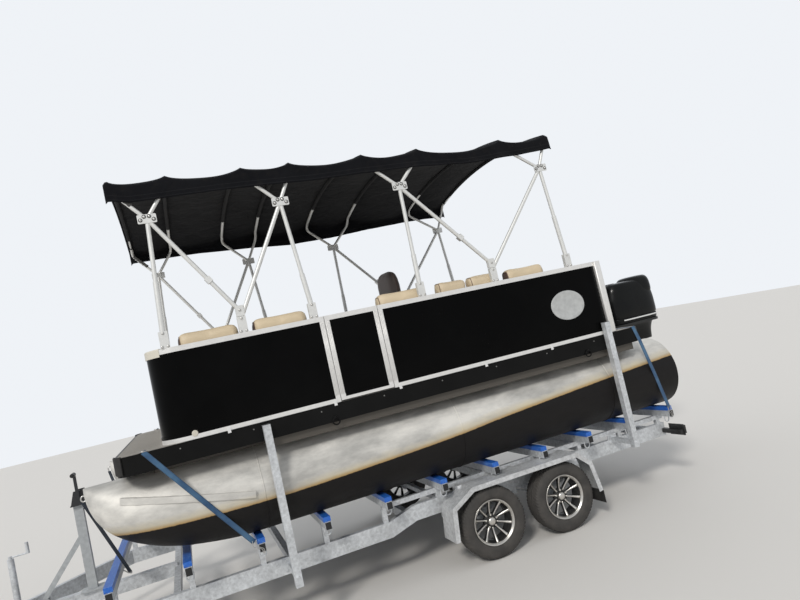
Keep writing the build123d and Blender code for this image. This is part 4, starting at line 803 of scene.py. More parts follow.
beige_vinyl = vinyl("beige_vinyl", (0.66, 0.54, 0.37), (0.085, 0.050, 0.038))
chair_vinyl = vinyl("chair_vinyl", (0.080, 0.050, 0.040), (0.185, 0.150, 0.135))
seat_z0, seat_z1, back_z1 = 1.8953, 2.005, 2.342
seat_ys, back_ys = (0.640, 1.039), (1.045, 1.165)
bow_backs = ((0.625, 1.090), (1.155, 1.635))
stern_backs = ((-1.600, -1.160), (-1.100, -0.790), (-0.785, -0.485), (-0.405, 0.072))
plain_backs = ("stern_back_port_2", "stern_back_port_3", "stern_back_port_4")
# Columns: name, node, low corner, high corner, squareness
pads = []
for end, hand, side, x0, x1, backs in (("bow", "port", 1, 0.590, 1.640, bow_backs),
                                       ("bow", "starboard", -1, 0.590, 1.640, bow_backs),
                                       ("stern", "port", 1, -1.640, 0.055, stern_backs)):
    node_name = f"{end}_cushions"
    y0, y1 = sorted(side * y for y in seat_ys)
    pads.append((f"{end}_seat_{hand}", node_name, (x0, y0, seat_z0), (x1, y1, seat_z1), 9.0))
    y0, y1 = sorted(side * y for y in back_ys)
    for k, (b0, b1) in enumerate(backs):
        pads.append((f"{end}_back_{hand}_{k + 1}", node_name, (b0, y0, seat_z0), (b1, y1, back_z1), 9.0))
pads.append(("chair_seat", "helm_chair_cushions", (-0.730, -0.995, 1.9443), (-0.270, -0.545, 2.064), 7.0))
pads.append(("chair_back", "helm_chair_cushions", (-0.852, -0.990, 1.960), (-0.7305, -0.540, 2.740), 4.2))
foam_inset, foam_voxel, foam_steps = np.array([0.007, 0.007, 0.004]), 0.015, 20
stuffed = []
for name, node_name, low, high, power in pads:
    low, high = np.array(low), np.array(high)
    skin = boxy((low + high) / 2, (high - low) / 2 - foam_inset, power)
    pad = placed(name, evened(name, skin, foam_voxel))
    stuffed.append((pad, node_name, low, high, points_of(pad.data)))
for pad, *_ in stuffed:
    cloth = pad.modifiers.new("foam", "CLOTH")
    cloth.settings.use_pressure = True
    cloth.settings.uniform_pressure_force = 4.0
    cloth.settings.effector_weights.gravity = 0.0
    cloth.settings.quality = 4
    cloth.point_cache.frame_end = foam_steps
for step in range(1, foam_steps + 1):
    bpy.context.scene.frame_set(step)
most_swell, slack = 0.016, np.array([0.009, 0.005, 0.010])
seat_seam, chair_back_seam, back_seam = 0.045, 0.072, 0.036
chair_pivot = np.array([-0.500, -0.770, 0.0])
c, s = cos(radians(10.0)), sin(radians(10.0))
chair_spin = np.array([[c, -s, 0], [s, c, 0], [0, 0, 1]])
seam_turn = turns(120)
seams = {"beige": [], "chair": []}
for pad, node_name, low, high, start in stuffed:
    swollen = start.copy()
    blown = pad.evaluated_get(bpy.context.evaluated_depsgraph_get())
    swell = points_of(blown.to_mesh()) - start
    length = np.linalg.norm(swell, axis=1)[:, None]
    swollen = start + swell * np.minimum(1.0, most_swell / np.maximum(length, 1e-9))
    blown.to_mesh_clear()
    pad.modifiers.clear()
    swollen = np.clip(swollen, low - slack * (1, 1, 0), high + slack)
    chair = node_name == "helm_chair_cushions"
    centre, half = (low + high) / 2, (high - low) / 2
    if "back" in pad.name:
        seam = low[0] + chair_back_seam if chair else high[0] - back_seam
        panel = 0 * start[:, 0] - 1.0 if pad.name in plain_backs else swollen[:, 0] - seam
        hub, first, second = np.array([seam, centre[1], centre[2]]), (0, 1, 0), (0, 0, 1)
    else:
        seam = high[2] - seat_seam
        panel = seam - swollen[:, 2]
        hub, first, second = np.array([centre[0], centre[1], seam]), (1, 0, 0), (0, 1, 0)
    skin = BVHTree.FromPolygons(swollen.tolist(), [list(p.vertices) for p in pad.data.polygons])
    rays = np.cos(seam_turn)[:, None] * (half * first) + np.sin(seam_turn)[:, None] * (half * second)
    rays /= np.linalg.norm(rays, axis=1)[:, None]
    line = np.array([skin.ray_cast(Vector(hub), Vector(ray))[0] for ray in rays])
    around = np.cross(first, second)
    if chair:
        swollen = (swollen - chair_pivot) @ chair_spin.T + chair_pivot
        line = (line - chair_pivot) @ chair_spin.T + chair_pivot
        around = chair_spin @ around
    seams["chair" if chair else "beige"].append(carried(line, ring(0.0035), up=around, closed=True))
    pad.data.vertices.foreach_set("co", swollen.ravel())
    pad.data.attributes.new("panel", "FLOAT", "POINT").data.foreach_set("value", panel)
    pad.data.polygons.foreach_set("use_smooth", [True] * len(pad.data.polygons))
    pad.data.materials.clear()
    pad.data.materials.append(chair_vinyl if chair else beige_vinyl)
    pad.data.update()
    smooth = pad.modifiers.new("smooth", "SUBSURF")
    smooth.levels = smooth.render_levels = 1
    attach(pad, "root")
    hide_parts(node_name)
piping = moulded("piping", (0.16, 0.10, 0.07), 0.45)
made_of("cushion_piping", seams["beige"], piping)
made_of("chair_piping", seams["chair"], piping)

# Helm wheel and dash
# A moulded black wheel with finger waves on its grip, keyed to the shaft of its dash.  Four
# plain dials with bright bezels are let into the dash, and a throttle box stands beside it.
dash_centre, dash_out = np.array([-0.015, -0.800, 2.170]), np.array([-0.89443, 0.0, 0.44721])
dash_up, athwart = np.array([0.44721, 0.0, 0.89443]), np.array([0.0, 1.0, 0.0])
wheel_hub = dash_centre + 0.095 * dash_out
helm_r, spoke_end, finger_waves = 0.160, 0.156, 20
turn, grip_turn = turns(180), turns(16)
grip_r = 0.0128 + 0.0012 * np.cos(turn * finger_waves)[:, None] * np.clip(np.cos(grip_turn), 0, 1)[None]
rim_way = np.cos(turn)[:, None] * athwart + np.sin(turn)[:, None] * dash_up
grip = (wheel_hub + (helm_r + grip_r * np.cos(grip_turn))[..., None] * rim_way[:, None]
        + (grip_r * np.sin(grip_turn))[..., None] * dash_out)
helm_parts = [quads(grip, around=True, along=True)]
flat_oval = np.stack([np.cos(grip_turn), np.sin(grip_turn) * 0.45], 1)
for angle in (90.0, 210.0, 330.0):
    way = cos(radians(angle)) * athwart - sin(radians(angle)) * dash_up
    reach = np.linspace(0.012, spoke_end, 14)
    dish = 0.010 * (1 - (reach / spoke_end) ** 2)
    path = wheel_hub + reach[:, None] * way - dish[:, None] * dash_out
    wide = 0.011 + 0.012 * (reach / spoke_end - 0.5) ** 2 * 4
    outline = flat_oval[:, :1] * np.cross(way, dash_out) + flat_oval[:, 1:] * dash_out
    helm_parts.append(quads(path[:, None] + wide[:, None, None] * outline[None], around=True, ends=True))
helm_parts.append(turned([(-0.098, 0.001), (-0.098, 0.024), (-0.03, 0.022), (-0.012, 0.032), (0.006, 0.032),
                          (0.012, 0.026), (0.013, 0.001)], wheel_hub, dash_out, 40))
helm_black = moulded("helm_black", (0.012, 0.012, 0.012), 0.42)
helm = made_of("helm_grip", helm_parts, helm_black, "helm_wheel")
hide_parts("helm_wheel")
bezel = [(0.0, 0.041), (0.007, 0.041), (0.009, 0.038), (0.006, 0.034), (0.0, 0.034)]
dial = [(0.001, 0.0345), (0.004, 0.0345), (0.004, 0.001)]
spots = [dash_centre + dy * athwart + dz * dash_up for dy in (-0.19, 0.17) for dz in (0.070, -0.030)]
bezels = [turned(bezel, spot, dash_out, 36, closed=True) for spot in spots]
made_of("dial_rings", bezels, machined)
dial_face = moulded("dial_face", (0.62, 0.62, 0.60), 0.3)
made_of("dial_faces", [turned(dial, spot, dash_out, 36) for spot in spots], dial_face)
lever_x, lever_y, lever_z = 0.100, -0.5535, 2.215
throttle_box = [(0, 0.045), (0.014, 0.045), (0.022, 0.036), (0.022, 0.001)]
arm = fair([(lever_x, lever_y + 0.014, lever_z), (lever_x + 0.02, lever_y + 0.020, lever_z + 0.060),
            (lever_x + 0.045, lever_y + 0.014, lever_z + 0.110)], 12)
knob = [(-0.030, 0.001), (-0.030, 0.013), (0.022, 0.015), (0.030, 0.010), (0.031, 0.001)]
lever = [turned(throttle_box, (lever_x, lever_y - 0.0065, lever_z), athwart, 40),
         carried(arm, ring(0.008, 10), up=athwart), turned(knob, arm[-1], athwart, 20)]
made_of("throttle", lever, helm_black)

# Canopy frame
# Anodised round tube.  The struts stand in slotted feet on the top rail and meet the bows
# at small plates, and every pivot is a stainless bolt with a nylon washer.
satin_tube = metal("satin_tube", (0.80, 0.80, 0.78), 0.40, metallic=0.45, scale=30.0)
dress(satin_tube, "canopy_legs", "canopy_bows")
foot_xs = (1.701, 1.144, 0.603, -0.328, -1.030, -1.812)
plate_xs = (1.653, 0.673, -0.344, -1.755)
foot_bolt_z, eye_z, hub_z, plate_z, frame_y = 2.250, 2.346, 2.408, 3.188, 1.196
face_y, washer_thick = frame_y + 0.0185, 0.0018
dome = [(0, 0.0105), (0.0015, 0.0105), (0.005, 0.008), (0.0068, 0.003), (0.007, 0.0006)]
washer = [(0, 0.0145), (washer_thick, 0.0145), (washer_thick, 0.003)]
bolts, washers = [], []
for side in (1, -1):
    out = (0, side, 0)
    for k, x in enumerate(foot_xs):
        bolts.append(turned(dome, (x, side * face_y, eye_z), out, 14))
        bolts += nuts([(x, side * (frame_y - 0.018), eye_z)], (0, -side, 0), 0.018, 0.007)
        bolts += [turned(dome, (x + dx, side * face_y, foot_bolt_z), out, 14) for dx in (-0.020, 0.020)]
        if k in (1, 4):
            bolts.append(turned(dome, (x, side * (face_y + 0.002), hub_z), out, 14))
    for x in plate_xs:
        for dx, dz in ((-0.046, -0.008), (0.046, -0.008), (-0.018, 0.016), (0.018, 0.016)):
            washers.append(turned(washer, (x + dx, side * face_y, plate_z + dz), out, 16))
            bolts.append(turned(dome, (x + dx, side * (face_y + washer_thick), plate_z + dz), out, 14))
stainless = metal("stainless", (0.62, 0.61, 0.59), 0.3)
made_of("canopy_bolts", bolts, stainless)
made_of("canopy_washers", washers, plug_black)

# Canopy cover
# One sewn sheet of dark woven canvas laid over the eight bows.  It sags a little between
# them, turns down over the sides as a stitched valance, and hangs in slack folds.
half_w, edge_z, crown_h, aft_x, front_x = 1.225, 3.488, 0.140, -1.905, 1.900
arc_r = (half_w**2 + crown_h**2) / (2 * crown_h)
bow_xs = np.array([-1.871, -1.396, -0.576, -0.069, 0.543, 0.921, 1.476, 1.868])
stations = np.unique(np.concatenate([np.linspace(aft_x, front_x, 241), bow_xs]))
hem_port = np.interp(stations, (-1.905, -1.60, -1.095, -0.426, 0.406, 1.106, 1.50, 1.747, 1.90),
                     (3.352, 3.330, 3.306, 3.331, 3.319, 3.330, 3.318, 3.318, 3.345))
hem_starboard = np.interp(stations, (-1.905, -1.625, -1.274, -0.863, -0.336, 0.16, 0.624, 1.18, 1.60, 1.90),
                          (3.355, 3.364, 3.360, 3.344, 3.312, 3.303, 3.337, 3.366, 3.371, 3.364))
ahead = np.clip(np.searchsorted(bow_xs, stations, side="right"), 1, len(bow_xs) - 1)
gap = bow_xs[ahead] - bow_xs[ahead - 1]
share = np.clip((stations - bow_xs[ahead - 1]) / gap, 0, 1)
sag = 0.085 * gap * (4 * share * (1 - share)) ** 0.8
pull = np.exp(-((share - 0.5) / 0.5) ** 2)
turn_r, hang_steps, bend_steps, arc_steps = 0.022, 14, 6, 61


def side_line(side, hem):
    """From hem to arc: down the valance the cloth swings by slow and quick waves that grow
    towards the hem, then it turns over the edge on a quarter circle."""
    drop = np.linspace(1, 0, hang_steps)[None]
    top = edge_z - sag - turn_r
    z = top[:, None] + (hem - top)[:, None] * drop
    x = stations[:, None]
    swing = 0.0045 * np.sin(x * 9.3 + side) + 0.0040 * np.sin(x * 23.0 + 2 * side) * (x < 0.2)
    swing = swing + 0.0032 * np.sin(x * 71.0 + 1.3 * drop) * np.exp(-((x + 0.72) / 0.30) ** 2)
    y = half_w - 0.0005 + (swing + 0.002) * drop**0.7 + 0.004 * np.exp(-(((drop - 0.93) / 0.05) ** 2))
    bend = np.linspace(0, np.pi / 2 - 0.15, bend_steps + 1)[None, 1:]
    by = half_w - turn_r + turn_r * np.cos(bend) + 0 * x
    bz = top[:, None] + turn_r * np.sin(bend)
    return np.stack([np.hstack([y, by]) * side, np.hstack([z, bz])], -1)


arc_y = np.linspace(-(half_w - turn_r - 0.004), half_w - turn_r - 0.004, arc_steps)
arc_z = edge_z + crown_h - arc_r + np.sqrt(arc_r**2 - arc_y**2)
x = stations[:, None]
slack = 0.55 + 0.45 * (arc_y[None] / half_w) ** 2
ripple = (0.0035 * np.sin(7.1 * x + 3.2 * arc_y) * np.sin(4.4 * arc_y - 2.0 * x)
          + 0.0025 * np.sin(15 * x - 9 * arc_y))
pocket = 0.0016 * np.exp(-((np.abs(x - bow_xs[None]).min(1) / 0.024) ** 4))[:, None]
middle = np.stack([arc_y[None] + 0 * x, arc_z[None] - sag[:, None] * slack
                   + ripple * (pull * (sag > 0.004))[:, None] + pocket], -1)
lines = np.concatenate([side_line(-1, hem_starboard), middle, side_line(1, hem_port)[:, ::-1]], 1)
sheet_grid = np.concatenate([np.broadcast_to(x[..., None], lines.shape[:2] + (1,)), lines], -1).copy()
aft_tuck = np.clip(np.abs(sheet_grid[..., 0] - aft_x) / 0.02, 0, 1)
front_tuck = np.clip((front_x - sheet_grid[..., 0]) / 0.024, 0, 1)
sheet_grid[..., 2] -= 0.012 * (1 - aft_tuck) ** 2 + 0.020 * (1 - front_tuck) ** 2
steps_along = np.linalg.norm(np.diff(sheet_grid, axis=1), axis=2)
run = np.concatenate([np.zeros((len(stations), 1)), np.cumsum(steps_along, 1)], 1)
cut_w = float(run[:, -1].mean())
run *= cut_w / run[:, -1:]
points, faces = quads(sheet_grid)

coat = Finish("canvas")
lay = coat.node("UVMap", {}, "UV", uv_map="cloth")
threads = coat.reckon("MULTIPLY", coat.ribs(95.0, "X", at=lay), coat.ribs(95.0, "Y", at=lay))
# Painted shade: both tones are the canvas's own dark colour made darker still, for the shadow under the
# cover.
canvas_tone_and_shade = coat.ramp(coat.noise(1.9, 7.0, 0.62, at=lay), (0.30, (0.0040, 0.0043, 0.0058)),
                  (0.75, (0.0105, 0.0108, 0.0130)))
grime = coat.spread(coat.noise(14.0, 5.0, at=lay), (0.52, 0.80), (0.0, 0.35))
from_middle = coat.reckon("ABSOLUTE", coat.reckon("SUBTRACT", coat.axis("Y", at=lay), cut_w / 2))
stitch_rows = []
for from_edge in (0.016, 0.048):
    away = coat.reckon("ABSOLUTE", coat.reckon("SUBTRACT", from_middle, cut_w / 2 - from_edge))
    stitch_rows.append(coat.spread(away, (0.0, 0.0016), (1.0, 0.0)))
stitches = coat.reckon("MAXIMUM", *stitch_rows)
dusted = coat.blend(grime, canvas_tone_and_shade, (0.022, 0.020, 0.018))
creased = coat.bump(coat.noise(6.5, 4.0, at=lay, warp=0.7), 0.5, 0.030)
sunk = coat.bump(stitches, 0.7, -0.0025, over=creased)
canvas = coat.done(colour=coat.blend(coat.reckon("MULTIPLY", stitches, 0.5), dusted, (0.055, 0.055, 0.058)),
                   relief=coat.bump(threads, 0.25, 0.0008, over=sunk),
                   rough=0.86, gleam=0.08, sheen=0.04, sheen_rough=0.5)

sheet_mesh = bpy.data.meshes.new("cover_sheet")
sheet_mesh.from_pydata(points.tolist(), [], faces)
flat_map = np.stack([np.broadcast_to(x, run.shape), run], -1).reshape(-1, 2)
corner_of = np.array([v for cell in faces for v in cell])
sheet_mesh.uv_layers.new(name="cloth").data.foreach_set("uv", flat_map[corner_of].ravel())
shell = bmesh.new()
shell.from_mesh(sheet_mesh)
bmesh.ops.recalc_face_normals(shell, faces=shell.faces)
if sum(face.normal.z * face.calc_area() for face in shell.faces) < 0:
    bmesh.ops.reverse_faces(shell, faces=shell.faces)
shell.to_mesh(sheet_mesh)
shell.free()
sheet_mesh.polygons.foreach_set("use_smooth", [True] * len(sheet_mesh.polygons))
sheet_mesh.materials.append(canvas)
cover = placed("cover_sheet", sheet_mesh)
thick = cover.modifiers.new("cloth_thickness", "SOLIDIFY")
thick.thickness, thick.offset = 0.0016, -1.0
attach(cover, "root")
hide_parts("canopy_cover")

# Sleeves of the cover
# Black sleeves sewn under the canvas hold the bows: long ones at the two ends and shorter
# ones between.  The front bow's arms run up into grey sleeves under the cover's corners.


def sewn_sleeve(name, low, high):
    """Rubbed cloth between two tones, with small slack wrinkles."""
    coat = Finish(name)
    rub = coat.noise(40.0, 5.0)
    return coat.done(colour=coat.blend(rub, low, high), rough=0.9, relief=coat.bump(rub, 0.4, 0.002))


arm_line = np.array([(1.744, 1.194, 3.300), (1.800, 1.194, 3.362), (1.846, 1.192, 3.414),
                     (1.866, 1.184, 3.448)])
arm_steps, turn = 40, turns(26)
girth = 0.0175 + 0.0015 * np.sin(5 * turn)[None] * np.linspace(1.0, 0.4, arm_steps)[:, None]
girth = girth + 0.0012 * np.sin(np.linspace(0, 40, arm_steps))[:, None]
sleeves = []
for side in (1, -1):
    path = fair(arm_line * (1, side, 1), arm_steps)
    ahead = np.gradient(path, axis=0)
    ahead /= np.linalg.norm(ahead, axis=1)[:, None]
    first = np.cross(ahead, (0, 1, 0))
    first /= np.linalg.norm(first, axis=1)[:, None]
    second = np.cross(ahead, first)
    spoke = np.cos(turn)[None, :, None] * first[:, None] + np.sin(turn)[None, :, None] * second[:, None]
    outer, inner = path[:, None] + girth[..., None] * spoke, path[:, None] + 0.0149 * spoke
    sleeves.append(quads(np.concatenate([outer, inner[::-1]]), around=True, along=True))
grey_sleeve = sewn_sleeve("grey_sleeve", (0.035, 0.034, 0.033), (0.12, 0.117, 0.112))
black_sleeve = sewn_sleeve("black_sleeve", (0.004, 0.004, 0.005), (0.014, 0.014, 0.016))
arm_sleeves = made_of("arm_sleeves", sleeves, grey_sleeve)
pocket_r, pocket_top, under_arc = 0.0172, 0.0138, 0.0158
pocket_section = np.stack([ring(pocket_r, 28)[:, 0], np.minimum(ring(pocket_r, 28)[:, 1], pocket_top)], 1)
pockets = []
for bow_x in bow_xs:
    reach = 1.085 if abs(bow_x) > 1.8 else 0.70
    across = np.linspace(-reach, reach, 60)
    height = edge_z + crown_h - arc_r + np.sqrt((arc_r - under_arc) ** 2 - across**2)
    pockets.append(carried(np.stack([0 * across + bow_x, across, height], 1), pocket_section))
bow_sleeves = made_of("bow_sleeves", pockets, black_sleeve)

# Outboard
# A moulded cowl in black gloss over a painted leg.  The cap stands proud behind the air
# scoop, a dark belt runs round its foot with a bright strip on it, and a latch closes it.
coat = Finish("cowl_black")
haze = coat.noise(6.0, 6.0)
cowl_black = coat.done(colour=coat.blend(haze, (0.004, 0.004, 0.005), (0.009, 0.010, 0.009)), gleam=0.16,
                       rough=coat.spread(haze, onto=(0.14, 0.34)), lacquer=0.06, lacquer_rough=0.08)
dress(black_coat("leg_paint", 0.013, 0.34, 0.4), "outboard_clamp", "outboard_swivel", "outboard_leg")
dress(metal("engine_metal", (0.22, 0.22, 0.22), 0.5, metallic=0.6), "powerhead")
dress(black_coat("propeller_paint", 0.012, 0.22, 0.45), "propeller")
cowl_x, strip_z, belt_long, belt_power = -3.355, 1.572, 0.334, 3.2
cowl_turn = turns(112)


def cowl_shell(levels, count):
    """A shell through the levels: each is a squared oval, with height, half length, half width,
    shift aft and squareness."""
    c, s = np.cos(cowl_turn), np.sin(cowl_turn)
    rings = []
    for z, long, wide, shift, square in fair(levels, count):
        reach = (np.abs(c) ** square + np.abs(s) ** square) ** (-1 / square)
        rings.append(np.stack([cowl_x - shift + long * reach * c, wide * reach * s, z + 0 * c], -1))
    return quads(np.stack(rings), around=True, ends=True)


hood_levels = (
    (1.530, 0.318, 0.180, 0.000, 3.2), (1.538, 0.327, 0.187, 0.000, 3.2), (1.560, 0.332, 0.190, 0.000, 3.2),
    (1.590, 0.334, 0.191, 0.000, 3.2), (1.593, 0.329, 0.187, 0.000, 3.2), (1.599, 0.329, 0.187, 0.000, 3.2),
    (1.602, 0.338, 0.195, 0.000, 3.1), (1.640, 0.342, 0.199, 0.000, 3.1), (1.720, 0.343, 0.199, 0.002, 3.0),
    (1.800, 0.338, 0.196, 0.005, 3.0), (1.880, 0.326, 0.188, 0.010, 2.9), (1.930, 0.314, 0.181, 0.013, 2.9),
    (1.962, 0.303, 0.173, 0.015, 2.8), (1.985, 0.290, 0.163, 0.017, 2.8), (2.001, 0.268, 0.146, 0.018, 2.7),
    (2.009, 0.230, 0.118, 0.018, 2.6), (2.013, 0.150, 0.074, 0.018, 2.4), (2.014, 0.030, 0.020, 0.018, 2.0))
cap_levels = (
    (1.840, 0.150, 0.170, 0.170, 3.0), (1.880, 0.160, 0.180, 0.168, 3.0), (1.940, 0.163, 0.176, 0.168, 3.0),
    (1.990, 0.160, 0.166, 0.168, 3.0), (2.024, 0.150, 0.150, 0.170, 2.8), (2.044, 0.128, 0.124, 0.172, 2.6),
    (2.051, 0.080, 0.076, 0.172, 2.4), (2.052, 0.020, 0.018, 0.172, 2.0))
apron_levels = (
    (1.300, 0.165, 0.050, 0.085, 2.6), (1.312, 0.172, 0.056, 0.083, 2.6), (1.400, 0.200, 0.078, 0.060, 2.8),
    (1.480, 0.240, 0.120, 0.035, 3.0), (1.520, 0.285, 0.160, 0.012, 3.1), (1.536, 0.312, 0.176, 0.0, 3.2))
cowl_parts = [cowl_shell(hood_levels, 120), cowl_shell(cap_levels, 60), cowl_shell(apron_levels, 40)]
cowl = made_of("cowl_shell", cowl_parts, cowl_black, "outboard_head")
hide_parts("outboard_cowl")
along_belt = np.linspace(-0.30, 0.22, 60)
belt_w = 0.1925 * (1 - (np.abs(along_belt) / belt_long) ** belt_power) ** (1 / belt_power) + 0.0012
strip = ring(1.0, 12) * (0.0022, 0.0075)
trim = [carried(np.stack([cowl_x + along_belt, side * belt_w, 0 * along_belt + strip_z], 1), strip)
        for side in (1, -1)]
made_of("cowl_strip", trim, bright_rivet, "outboard_head")
scoop = [bars([cowl_x + 0.165 + 0.016 * k, -0.085, 2.0125], [cowl_x + 0.172 + 0.016 * k, 0.085, 2.0165])
         for k in range(5)]
latch = bars([cowl_x - 0.362, -0.05, 1.640], [cowl_x - 0.343, 0.05, 1.662])
made_of("cowl_scoop_and_latch", scoop + [latch], helm_black, "outboard_head", bevel=0.0015)

# Tie straps
# Woven polyester webbing drawn tight.  The front pair hooks over the deck's edge and the aft
# one passes over the deck; bent-wire claws hold the lower ends to the bunks.


def woven_strap(name, low, high):
    """Webbing: fine ribs along the piece's own attribute, sewn edges and a film of dust."""
    coat = Finish(name)
    dusty = coat.spread(coat.noise(7.0, 5.0), (0.38, 0.68))
    spot = coat.node("Attribute", {}, "Vector", attribute_name="spot")
    sewn = coat.spread(coat.reckon("ABSOLUTE", coat.axis("X", at=spot)), (0.70, 0.78), (0.0, 0.45))
    return coat.done(colour=coat.blend(sewn, coat.blend(dusty, low, high), tint(low, 0.4)), rough=0.8,
                     relief=coat.bump(coat.ribs(120.0, "Y", at=spot), 0.5, 0.001), sheen=0.2)


def strap(name, runs, width, material):
    """Webbing along each run of (points, up): a flat oval section, with the attribute "spot"
    giving the share across and the metres along."""
    thick, count = 0.0022, 16
    outline = ring(1.0, count)
    outline = np.sign(outline) * np.abs(outline) ** 0.4 * (width, thick) / 2
    parts, spots = [], []
    for points, up in runs:
        path = np.asarray(points, float)
        parts.append(carried(path, outline, up=up))
        along = np.concatenate([[0], np.cumsum(np.linalg.norm(np.diff(path, axis=0), axis=1))])
        spots.append(np.stack([np.tile(outline[:, 0] * 2 / width, len(path)), np.repeat(along, count),
                               np.zeros(count * len(path))], 1))
    made = made_of(name, parts, material)
    spot = made.data.attributes.new("spot", "FLOAT_VECTOR", "POINT")
    spot.data.foreach_set("vector", np.vstack(spots).ravel())
    return made


blue_webbing = woven_strap("blue_webbing", (0.022, 0.072, 0.165), (0.075, 0.175, 0.295))
strap_w, strap_top, strap_low, deck_top = 0.038, 1.5688, 0.735, 1.5672
drop_z, drop_y = (0.6667, 1.068, 1.422, strap_top), (1.1545, 1.199, 1.2272, 1.2272)
edge_out, hook_half = 1.2285, 0.024
hook_bar = [(-0.022, 0.001), (-0.022, 0.004), (0.022, 0.004), (0.022, 0.001)]
zs = np.linspace(strap_top, strap_low, 40)
ys = np.interp(zs, drop_z, drop_y)
runs, claws = [], []
for deck_x, bunk_x in ((1.975, bunk_xs[2]), (-2.330, bunk_xs[-1])):
    xs = deck_x + (strap_top - zs) / (strap_top - drop_z[0]) * (bunk_x - deck_x)
    for side in (1, -1):
        runs.append((np.stack([xs, side * ys, zs], 1), (0, side, 0)))
        claw_y = side * (ys[-1] + 0.001)
        for dx in (-0.013, 0.013):
            claw = [(xs[-1] + dx, claw_y, strap_low + 0.012), (xs[-1] + dx * 0.9, claw_y, 0.705),
                    (bunk_x + dx * 0.5, side * 1.1565, 0.670), (bunk_x + dx * 0.3, side * 1.1555, 0.644),
                    (bunk_x + dx * 0.3, side * 1.146, 0.6395), (bunk_x + dx * 0.3, side * 1.128, 0.6415)]
            claws.append(carried(fair(claw, 40), ring(0.0028), up=(1, 0, 0)))
        if deck_x > 0:
            claws.append(bars([deck_x - hook_half, side * 1.196, 1.5662],
                              [deck_x + hook_half, side * 1.2295, 1.5692]))
            claws.append(turned(hook_bar, (deck_x, side * edge_out, 1.5700), (1, 0, 0), 12))
        else:
            across = np.linspace(0, side * edge_out, 30)
            runs.append((np.stack([0 * across + deck_x, across, 0 * across + deck_top], 1), (0, 0, 1)))
tied = strap("blue_straps", runs, strap_w, blue_webbing)
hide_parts("tie_straps")
made_of("strap_claws", claws, stainless)

# Bow straps
# A dark strap runs from the stainless eye on each nose down to the trailer's first cross
# beam, where a hook catches it, and keeps the bow from rising.
dark_webbing = woven_strap("dark_webbing", (0.012, 0.020, 0.034), (0.035, 0.045, 0.060))
nose_turn, nose_x, nose_z, beam_y = turns(40), 2.438, 1.322, 0.500
eyes, runs = [], []
for side in (1, -1):
    hoop = np.stack([nose_x + 0.016 * np.cos(nose_turn), side * tube_y + 0 * nose_turn,
                     nose_z + 0.020 * np.sin(nose_turn)], 1)
    eyes.append(carried(hoop, ring(0.005), up=(0, 1, 0), closed=True))
    upper, lower = np.array([[2.448, side * tube_y, 1.304], [2.272, side * beam_y, 0.640]])
    runs.append((upper + np.linspace(0, 1, 30)[:, None] * (lower - upper), (0, side, 0)))
    hook = [lower + [0.004, 0, 0.012], lower + [-0.006, 0, -0.006], lower + [0.018, 0, 0.004],
            [2.319, side * beam_y, 0.672]]
    eyes.append(carried(fair(hook, 24), ring(0.0045), up=(0, 1, 0)))
strap("bow_straps", runs, 0.026, dark_webbing)
made_of("bow_eyes", eyes, stainless)

# Corner pieces
# Pale moulded caps sleeve the top rail round its two front corners, and a thin dark guard
# wraps each corner of the deck under them.  A round pale plug closes the lower rail's drain.
cap_section = np.array([(-0.0225, 2.186), (-0.0225, 2.238), (-0.016, 2.2455), (0.016, 2.2455),
                        (0.0225, 2.238), (0.0225, 2.186), (0.0195, 2.186), (0.0195, 2.2412),
                        (-0.0195, 2.2412), (-0.0195, 2.186)])
guard_section = np.array([(0.0, 1.440), (-0.007, 1.440), (-0.011, 1.448), (-0.011, 1.562), (-0.007, 1.570),
                          (0.004, 1.570), (0.004, 1.5655), (0.0, 1.5655)])
caps, guards = [], []
for side in (1, -1):
    bend = np.radians(np.linspace(31.0, 90.0, 24))
    line = np.stack([1.643 + 0.190 * np.sin(bend), 1.011 + 0.190 * np.cos(bend), 0 * bend], 1)
    line = np.vstack([line, line[-1] - [0, 0.03, 0], line[-1] - [0, 0.06, 0]]) * (1, side, 1)
    caps.append(carried(line, cap_section * (side, 1)))
    bend = np.radians(np.linspace(38.0, 90.0, 24))
    line = np.stack([2.042 + 0.1285 * np.sin(bend), side * (1.097 + 0.1285 * np.cos(bend)), 0 * bend], 1)
    guards.append(carried(line, guard_section * (side, 1)))
drain_plug = [(0, 0.022), (0.003, 0.022), (0.0055, 0.018), (0.0045, 0.012), (0.006, 0.001)]
caps.append(turned(drain_plug, (1.621, 1.2205, 1.605), (0, 1, 0), 28))
pale_cap = moulded("pale_cap", (0.66, 0.62, 0.53), 0.4)
made_of("corner_caps", caps, pale_cap, smooth=False, bevel=0.001)
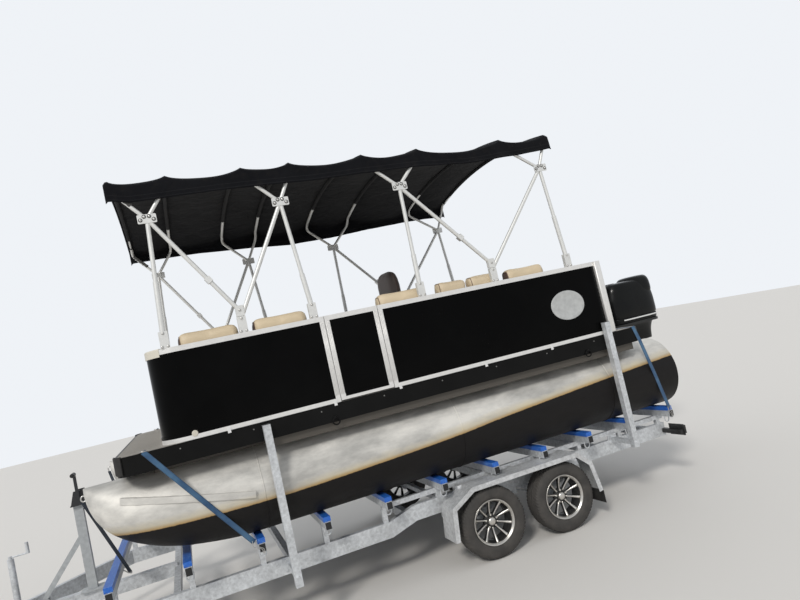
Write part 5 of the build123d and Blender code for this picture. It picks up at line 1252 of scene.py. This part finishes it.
made_of("corner_bumpers", guards, flap_rubber, smooth=False, bevel=0.002)

# Winch and jockey wheel
# The winch on the post is painted black above its plate, with dark webbing wound on its drum.
# The jockey wheel is a rubber tread moulded on a pressed steel rim.


def two_tone(name, mask, low, high, low_rough, high_rough):
    """Two finishes on one node: the mask, nought or one over the piece, picks between them."""
    coat = Finish(name)
    fine = coat.noise(30.0, 5.0)
    pick = mask(coat)
    first, second = (coat.blend(fine, tint(tone, 0.7), tint(tone, 1.3)) for tone in (low, high))
    return coat.done(colour=coat.blend(pick, first, second), relief=coat.bump(fine, 0.2, 0.001),
                     rough=coat.spread(pick, onto=(low_rough, high_rough)))


def above_plate(coat):
    """One above the winch's plate."""
    return coat.spread(coat.axis("Z"), (1.1795, 1.1805))


def outside_rim(coat):
    """One where the distance from the jockey wheel's axle, square to it, is more than the rim's."""
    level_place = coat.node("VectorMath", {0: coat.place(), 1: (3.075, 0.0, 0.100)}, operation="SUBTRACT")
    level_place = coat.node("VectorMath", {0: level_place, 1: (1.0, 0.0, 1.0)}, operation="MULTIPLY")
    far = coat.node("VectorMath", {0: level_place}, "Value", operation="LENGTH")
    return coat.spread(far, (0.0605, 0.0615))


bare_steel = (0.42, 0.44, 0.45)
dress(two_tone("winch_coat", above_plate, bare_steel, (0.022, 0.023, 0.026), 0.5, 0.35), "winch_post")
dress(two_tone("jockey_coat", outside_rim, bare_steel, (0.030, 0.029, 0.028), 0.45, 0.75), "jockey_wheel")
drum_x, drum_z = 2.595, 1.250
wound = [(-0.026, 0.0275), (-0.026, 0.040), (-0.022, 0.043), (0.022, 0.043), (0.026, 0.040), (0.026, 0.0275)]
wound_part = turned(wound, (drum_x, 0.0, drum_z), (0, 1, 0), 40)
made_of("winch_webbing", [wound_part], dark_webbing)
handle = [(-0.050, 0.001), (-0.050, 0.0165), (0.050, 0.0165), (0.052, 0.001)]
handle_part = turned(handle, (drum_x, 0.142, 1.440), (0, 1, 0), 20)
made_of("winch_grip", [handle_part], helm_black, bevel=0.002)

bpy.context.view_layer.update()
